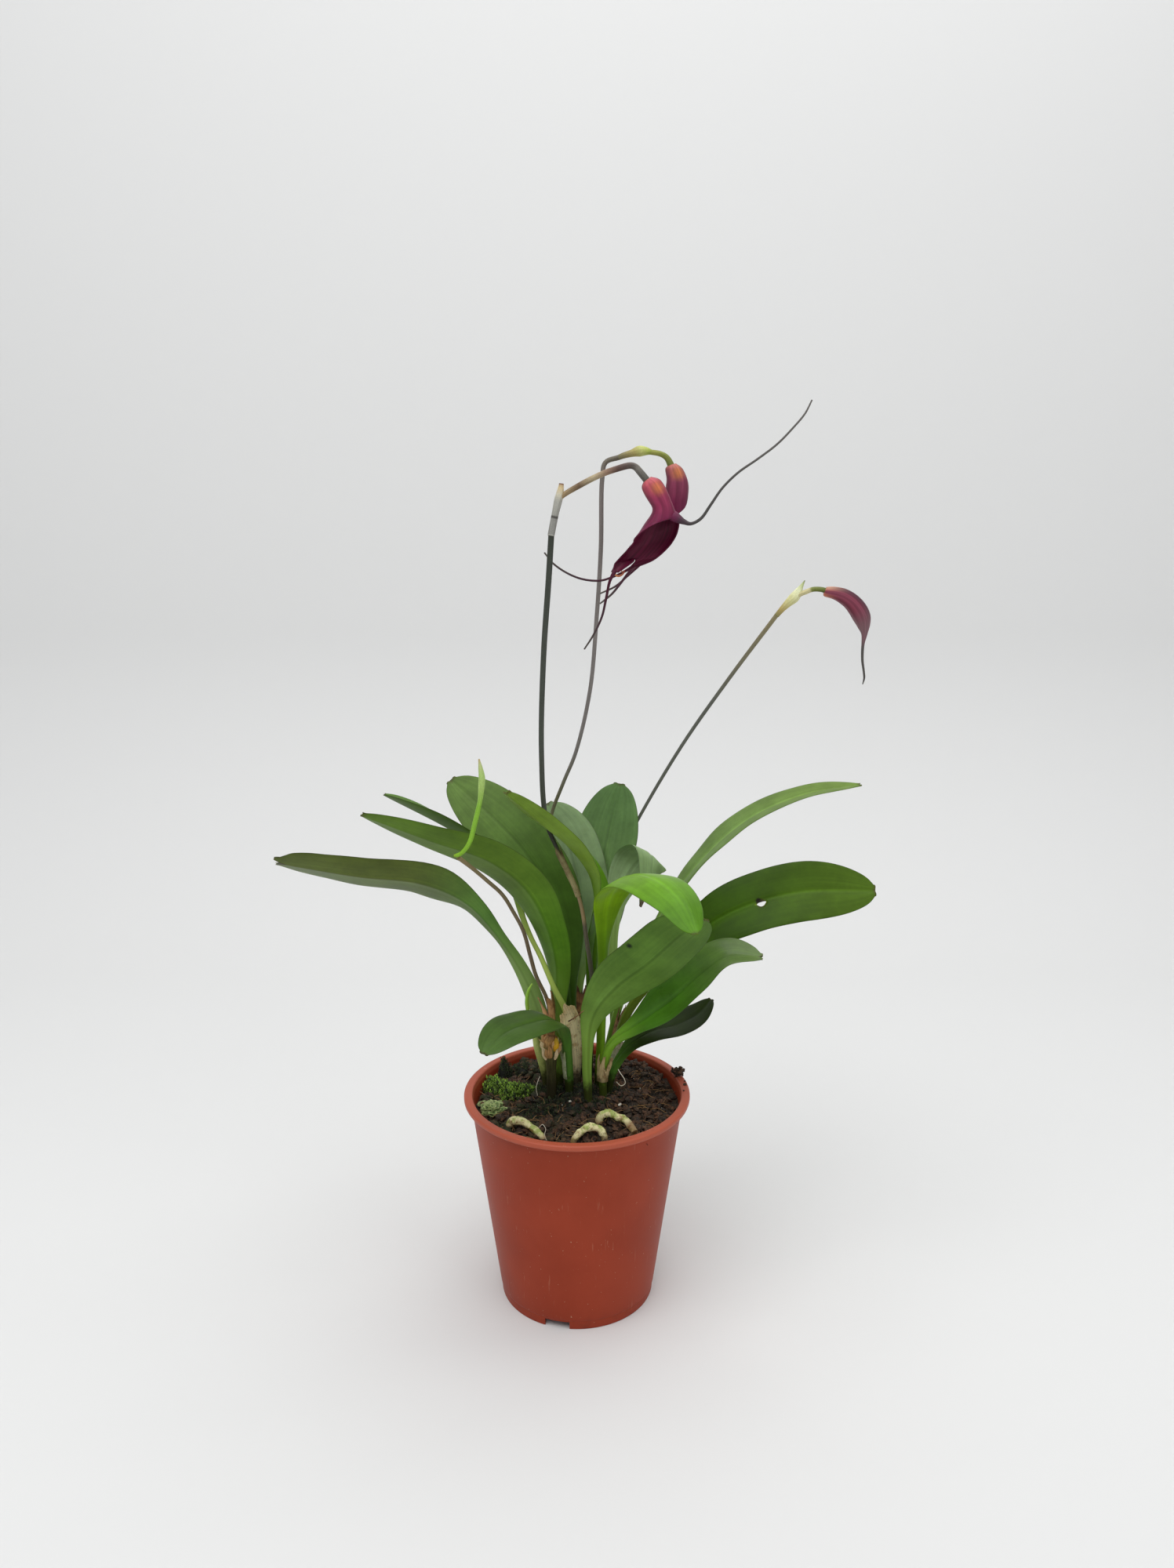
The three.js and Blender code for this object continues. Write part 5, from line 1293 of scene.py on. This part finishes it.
def build_substrate():
    rng = random.Random(SEED)
    angle = circle(200)
    share = np.linspace(1, 0.012, 74)[:, None]

    def rim(z):
        (low, foot), (high, top) = INNER_FOOT, INNER_TOP
        return low + (high - low) * (z - foot) / (top - foot) - GAP

    x, y = rim(82.0) * share * np.cos(angle), rim(82.0) * share * np.sin(angle)
    flat = np.stack([x, y, np.zeros_like(x)], axis=-1)
    relief = wobble(flat, 6.0, 1.2, 1) + wobble(flat, 2.3, 1.1, 2) + wobble(flat, 0.9, 0.5, 3)
    z = np.minimum(soil_height(x, y) + relief - 0.5, 84.2) + ground_height(x, y) - soil_height(x, y)
    ring = np.array([level(a) for a in angle])
    walls = [rim(height) * ring + height * UP for height in (5.8, 70.0)]
    parts = [loft(np.concatenate([walls, np.stack([x, y, z], axis=-1)]), {"tint": 0.0})]

    def spots(count, reach):
        for _ in range(count):
            x, y = random_spot(rng, reach)
            yield np.array([x, y, ground_height(x, y)])

    for spot in spots(*CRUMBS):
        size = rng.choice(CRUMB_SIZES)
        parts.append(chip_part(spot + 0.2 * size * UP, size, rng, rng.choice((0.1, 0.2, 0.35, 0.45, 0.5))))
    for spot in spots(*FIBRES):
        parts.append(fibre_part(spot + 0.4 * UP, rng.uniform(4, 11), rng.uniform(0.09, 0.2), rng,
                                rng.choice((0.3, 0.5, 0.75, 0.8))))
    for spot in spots(*PALE_GRAINS):
        parts.append(chip_part(spot + 0.7 * UP, rng.uniform(0.25, 0.5), rng, 1.0))
    for x, y in PALE_LUMPS:
        parts.append(chip_part((x, y, ground_height(x, y) + 1.2), 0.7, rng, 1.0))
    add_piece("substrate", merge(parts), soil_paint(), "substrate")


def build_clump():
    """The crumb of filling on the rim, with smaller bits beside it."""
    rng = random.Random(SEED + 1)
    low, high = (np.array(corner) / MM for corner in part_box("soil_clump"))
    parts = []
    for _ in range(46):
        offset = np.array([rng.gauss(0, 1.3), rng.gauss(0, 1.2), rng.gauss(0, 0.9)])
        spot = (low + high) / 2 + offset * min(1, 2.4 / (np.linalg.norm(offset) + 1e-6))
        spot[2] = max(spot[2], low[2] + 0.7)
        parts.append(chip_part(spot, rng.uniform(0.6, 1.2), rng, rng.choice((0.1, 0.3, 0.45))))
    for turn, radius, height, size in ((5, 43.6, 86.2, 0.9), (9, 44.2, 86.1, 0.6), (-2, 42.6, 86.2, 0.5)):
        parts.append(chip_part(radius * level(math.radians(turn)) + height * UP, size, rng, 0.3))
    add_piece("soil_clump", merge(parts), bpy.data.materials["paint_substrate"], "substrate")


def tuft_part(base, lean, height, rng, tint):
    """A moss shoot: short pointed leaves in a spiral around a thin stem."""
    parts = []
    leaves = 7
    for k in range(leaves):
        turn = 2.4 * k + rng.uniform(-0.3, 0.3)
        out = level(turn) + UP * (0.55 + 0.9 * k / leaves)
        side = np.cross(UP, level(turn)) * height * 0.11
        root = base + lean * height * (0.25 + 0.75 * k / (leaves - 1))
        tip = root + unit(out) * height * 0.42
        mid = (root + tip) / 2
        points = np.array([root, mid + side, tip, mid - side, mid + UP * height * 0.11])
        faces = [(0, 1, 4), (1, 2, 4), (2, 3, 4), (3, 0, 4), (0, 3, 2, 1)]
        parts.append((points, faces, {"tint": tint}))
    return merge(parts)


def moss_paint(name, dark, light):
    p = Paint(name)
    p.colour = p.mix(p.smooth(p.attribute("tint"), 0.0, 1.0), dark, light)
    p.vary(p.noise(1.5), 0.3)
    return p.finish(0.6, 0.3, glow=(0.1, (0.3, 1.0, 0.2), 0.0006))


def mound_height(x, y, mound):
    """How far a mound (x, y, half sizes, height) stands over the filling."""
    inside = 1 - ((x - mound[0]) / mound[2]) ** 2 - ((y - mound[1]) / mound[3]) ** 2
    return mound[4] * np.maximum(inside, 0)


def mound_part(mound, seed):
    angle = circle(26)
    share = np.linspace(1.1, 0.06, 9)[:, None]
    x, y = mound[0] + mound[2] * share * np.cos(angle), mound[1] + mound[3] * share * np.sin(angle)
    inward = np.minimum(1, MOUND_LIMIT / np.hypot(x, y))
    x, y = x * inward, y * inward
    rows = np.stack([x, y, ground_height(x, y) + mound_height(x, y, mound) - MOSS_SINKS], axis=-1)
    rows[..., 2] += wobble(rows, 2.4, 1.1, seed)
    return loft(np.concatenate([rows[:1] - UP * 2, rows]), {"tint": 0.0})


def tufted(mounds, tall, tints, rng):
    """Mounds covered with moss shoots. The last value of a mound is how many."""
    parts = []
    for seed, mound in enumerate(mounds, 40):
        parts.append(mound_part(mound, seed))
        for _ in range(mound[5]):
            x, y = random_spot(rng, 1.08, mound)
            if math.hypot(x, y) > SHOOT_LIMIT:
                continue
            base = np.array([x, y, ground_height(x, y) + mound_height(x, y, mound) - MOSS_SINKS])
            lean = unit(np.array([rng.gauss(0, 0.4), rng.gauss(0, 0.4), 1.0]))
            parts.append(tuft_part(base, lean, rng.uniform(*tall), rng, rng.uniform(*tints)))
    return merge(parts)


def build_moss():
    rng = random.Random(SEED + 2)
    add_piece("moss_cushion", tufted(BRIGHT_MOSS, (1.3, 3.0), (-0.2, 1.0), rng),
              moss_paint("moss", "#1b260d", "#84a838"), "moss")
    add_piece("dark_moss", tufted(DARK_MOSS, (0.9, 2.0), (0.0, 0.8), rng),
              moss_paint("dark_moss", "#12140b", "#38441f"), "moss", extra=True)


def lobe_part(centre, radius, turn, tilt, tint, rng):
    """One flat liverwort lobe with a wavy rim, thick enough to be a closed body."""
    angle = circle(14)
    wave = 1 + 0.18 * np.sin(3 * angle + rng.uniform(0, 6)) + 0.08 * np.sin(7 * angle)
    share = np.array([0.1, 0.4, 0.7, 1])[:, None]
    r = radius * share * wave
    lift = np.broadcast_to(0.25 * radius * share ** 2, r.shape)
    top = np.stack([r * np.cos(angle), 0.8 * r * np.sin(angle), lift], -1)
    rows = np.concatenate([top - 0.15 * UP, (top + 0.15 * UP)[::-1]])
    rim = [0.3, 0.1, 0.35, 1, 1, 0.35, 0.1, 0.3]
    return loft(turned(rows, tilt, turn) + centre, {"tint": np.array(rim)[:, None] * tint})


def build_liverwort():
    rng = random.Random(SEED + 3)
    parts = []
    for _ in range(LIVERWORT[5]):
        x, y = random_spot(rng, 0.95, LIVERWORT)
        if math.hypot(x, y) > LOBE_LIMIT:
            continue
        centre = (x, y, soil_height(x, y) + mound_height(x, y, LIVERWORT) + 0.1)
        radius, turn, tilt = rng.uniform(1.2, 2.3), rng.uniform(0, math.tau), rng.uniform(-0.3, 0.3)
        parts.append(lobe_part(centre, radius, turn, tilt, rng.uniform(0.5, 1), rng))
    add_piece("liverwort_patch", merge(parts), moss_paint("liverwort", "#4a6330", "#a9b57a"), "liverwort")


def build_stage():
    """Pale floor that sweeps up into a pale wall, well behind the pot."""
    half, front, back, bend, top = 1600, -1500, 560, 220, 1500
    turns = np.linspace(0, math.pi / 2, 17)
    curve = [(back - bend + bend * math.sin(a), bend - bend * math.cos(a)) for a in turns]
    profile = [(front, 0), *curve, (back, top)]
    points = [(x, y, z) for y, z in profile for x in (-half, half)]
    faces = [(2 * i, 2 * i + 1, 2 * i + 3, 2 * i + 2) for i in range(len(profile) - 1)]
    sweep = new_object("floor_sweep", new_mesh("floor_sweep", points, faces))
    sweep.data.materials.append(Paint("stage", "#dededd").finish(0.85, 0.1))
    sweep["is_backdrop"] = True


def add_area(name, place, size, power):
    """A rectangular lamp that looks at the plant."""
    light = bpy.data.lights.new(name, "AREA")
    light.shape = "RECTANGLE"
    light.size, light.size_y = size
    light.energy = power
    lamp = new_object(name, light)
    lamp.location = place
    lamp.rotation_euler = (Vector((0, 0, 0.15)) - Vector(place)).to_track_quat("-Z", "Y").to_euler()


def build_lights():
    world = bpy.data.worlds.new("soft_studio")
    world.use_nodes = True
    background = world.node_tree.nodes["Background"].inputs
    background["Color"].default_value = (0.95, 0.97, 1.0, 1)
    background["Strength"].default_value = 0.42
    bpy.context.scene.world = world
    add_area("key_light", (-0.35, -0.55, 1.25), (1.1, 0.9), 9.5)
    add_area("top_light", (0.25, 0.15, 1.3), (0.9, 0.9), 6)
    add_area("fill_light", (0.9, -0.7, 0.6), (0.8, 0.8), 2)


def build_camera():
    """The photograph's view: 435 mm in front of the pot's axis, looking 12.2 degrees down."""
    camera = bpy.data.cameras.new("camera")
    camera.sensor_fit = "VERTICAL"
    camera.sensor_height = 36
    camera.lens = camera.sensor_height * FOCAL_PIXELS / FRAME_PIXELS
    view = new_object("camera", camera)
    view.location = (0.004, -0.435, 0.305)
    view.rotation_euler = (math.radians(90 - 12.2), 0, 0)
    bpy.context.scene.camera = view


bpy.context.scene.view_settings.view_transform = "Standard"
build_camera()
build_lights()
build_stage()
build_pot()
build_substrate()
build_clump()
build_moss()
build_liverwort()
build_roots()
build_leaves()
build_sheaths()
build_stems()
build_flowers()
build_trim()

boxes = {"cad": cad_box, "visual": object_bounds()}
{key: [list(corner) for corner in box] for key, box in boxes.items()}
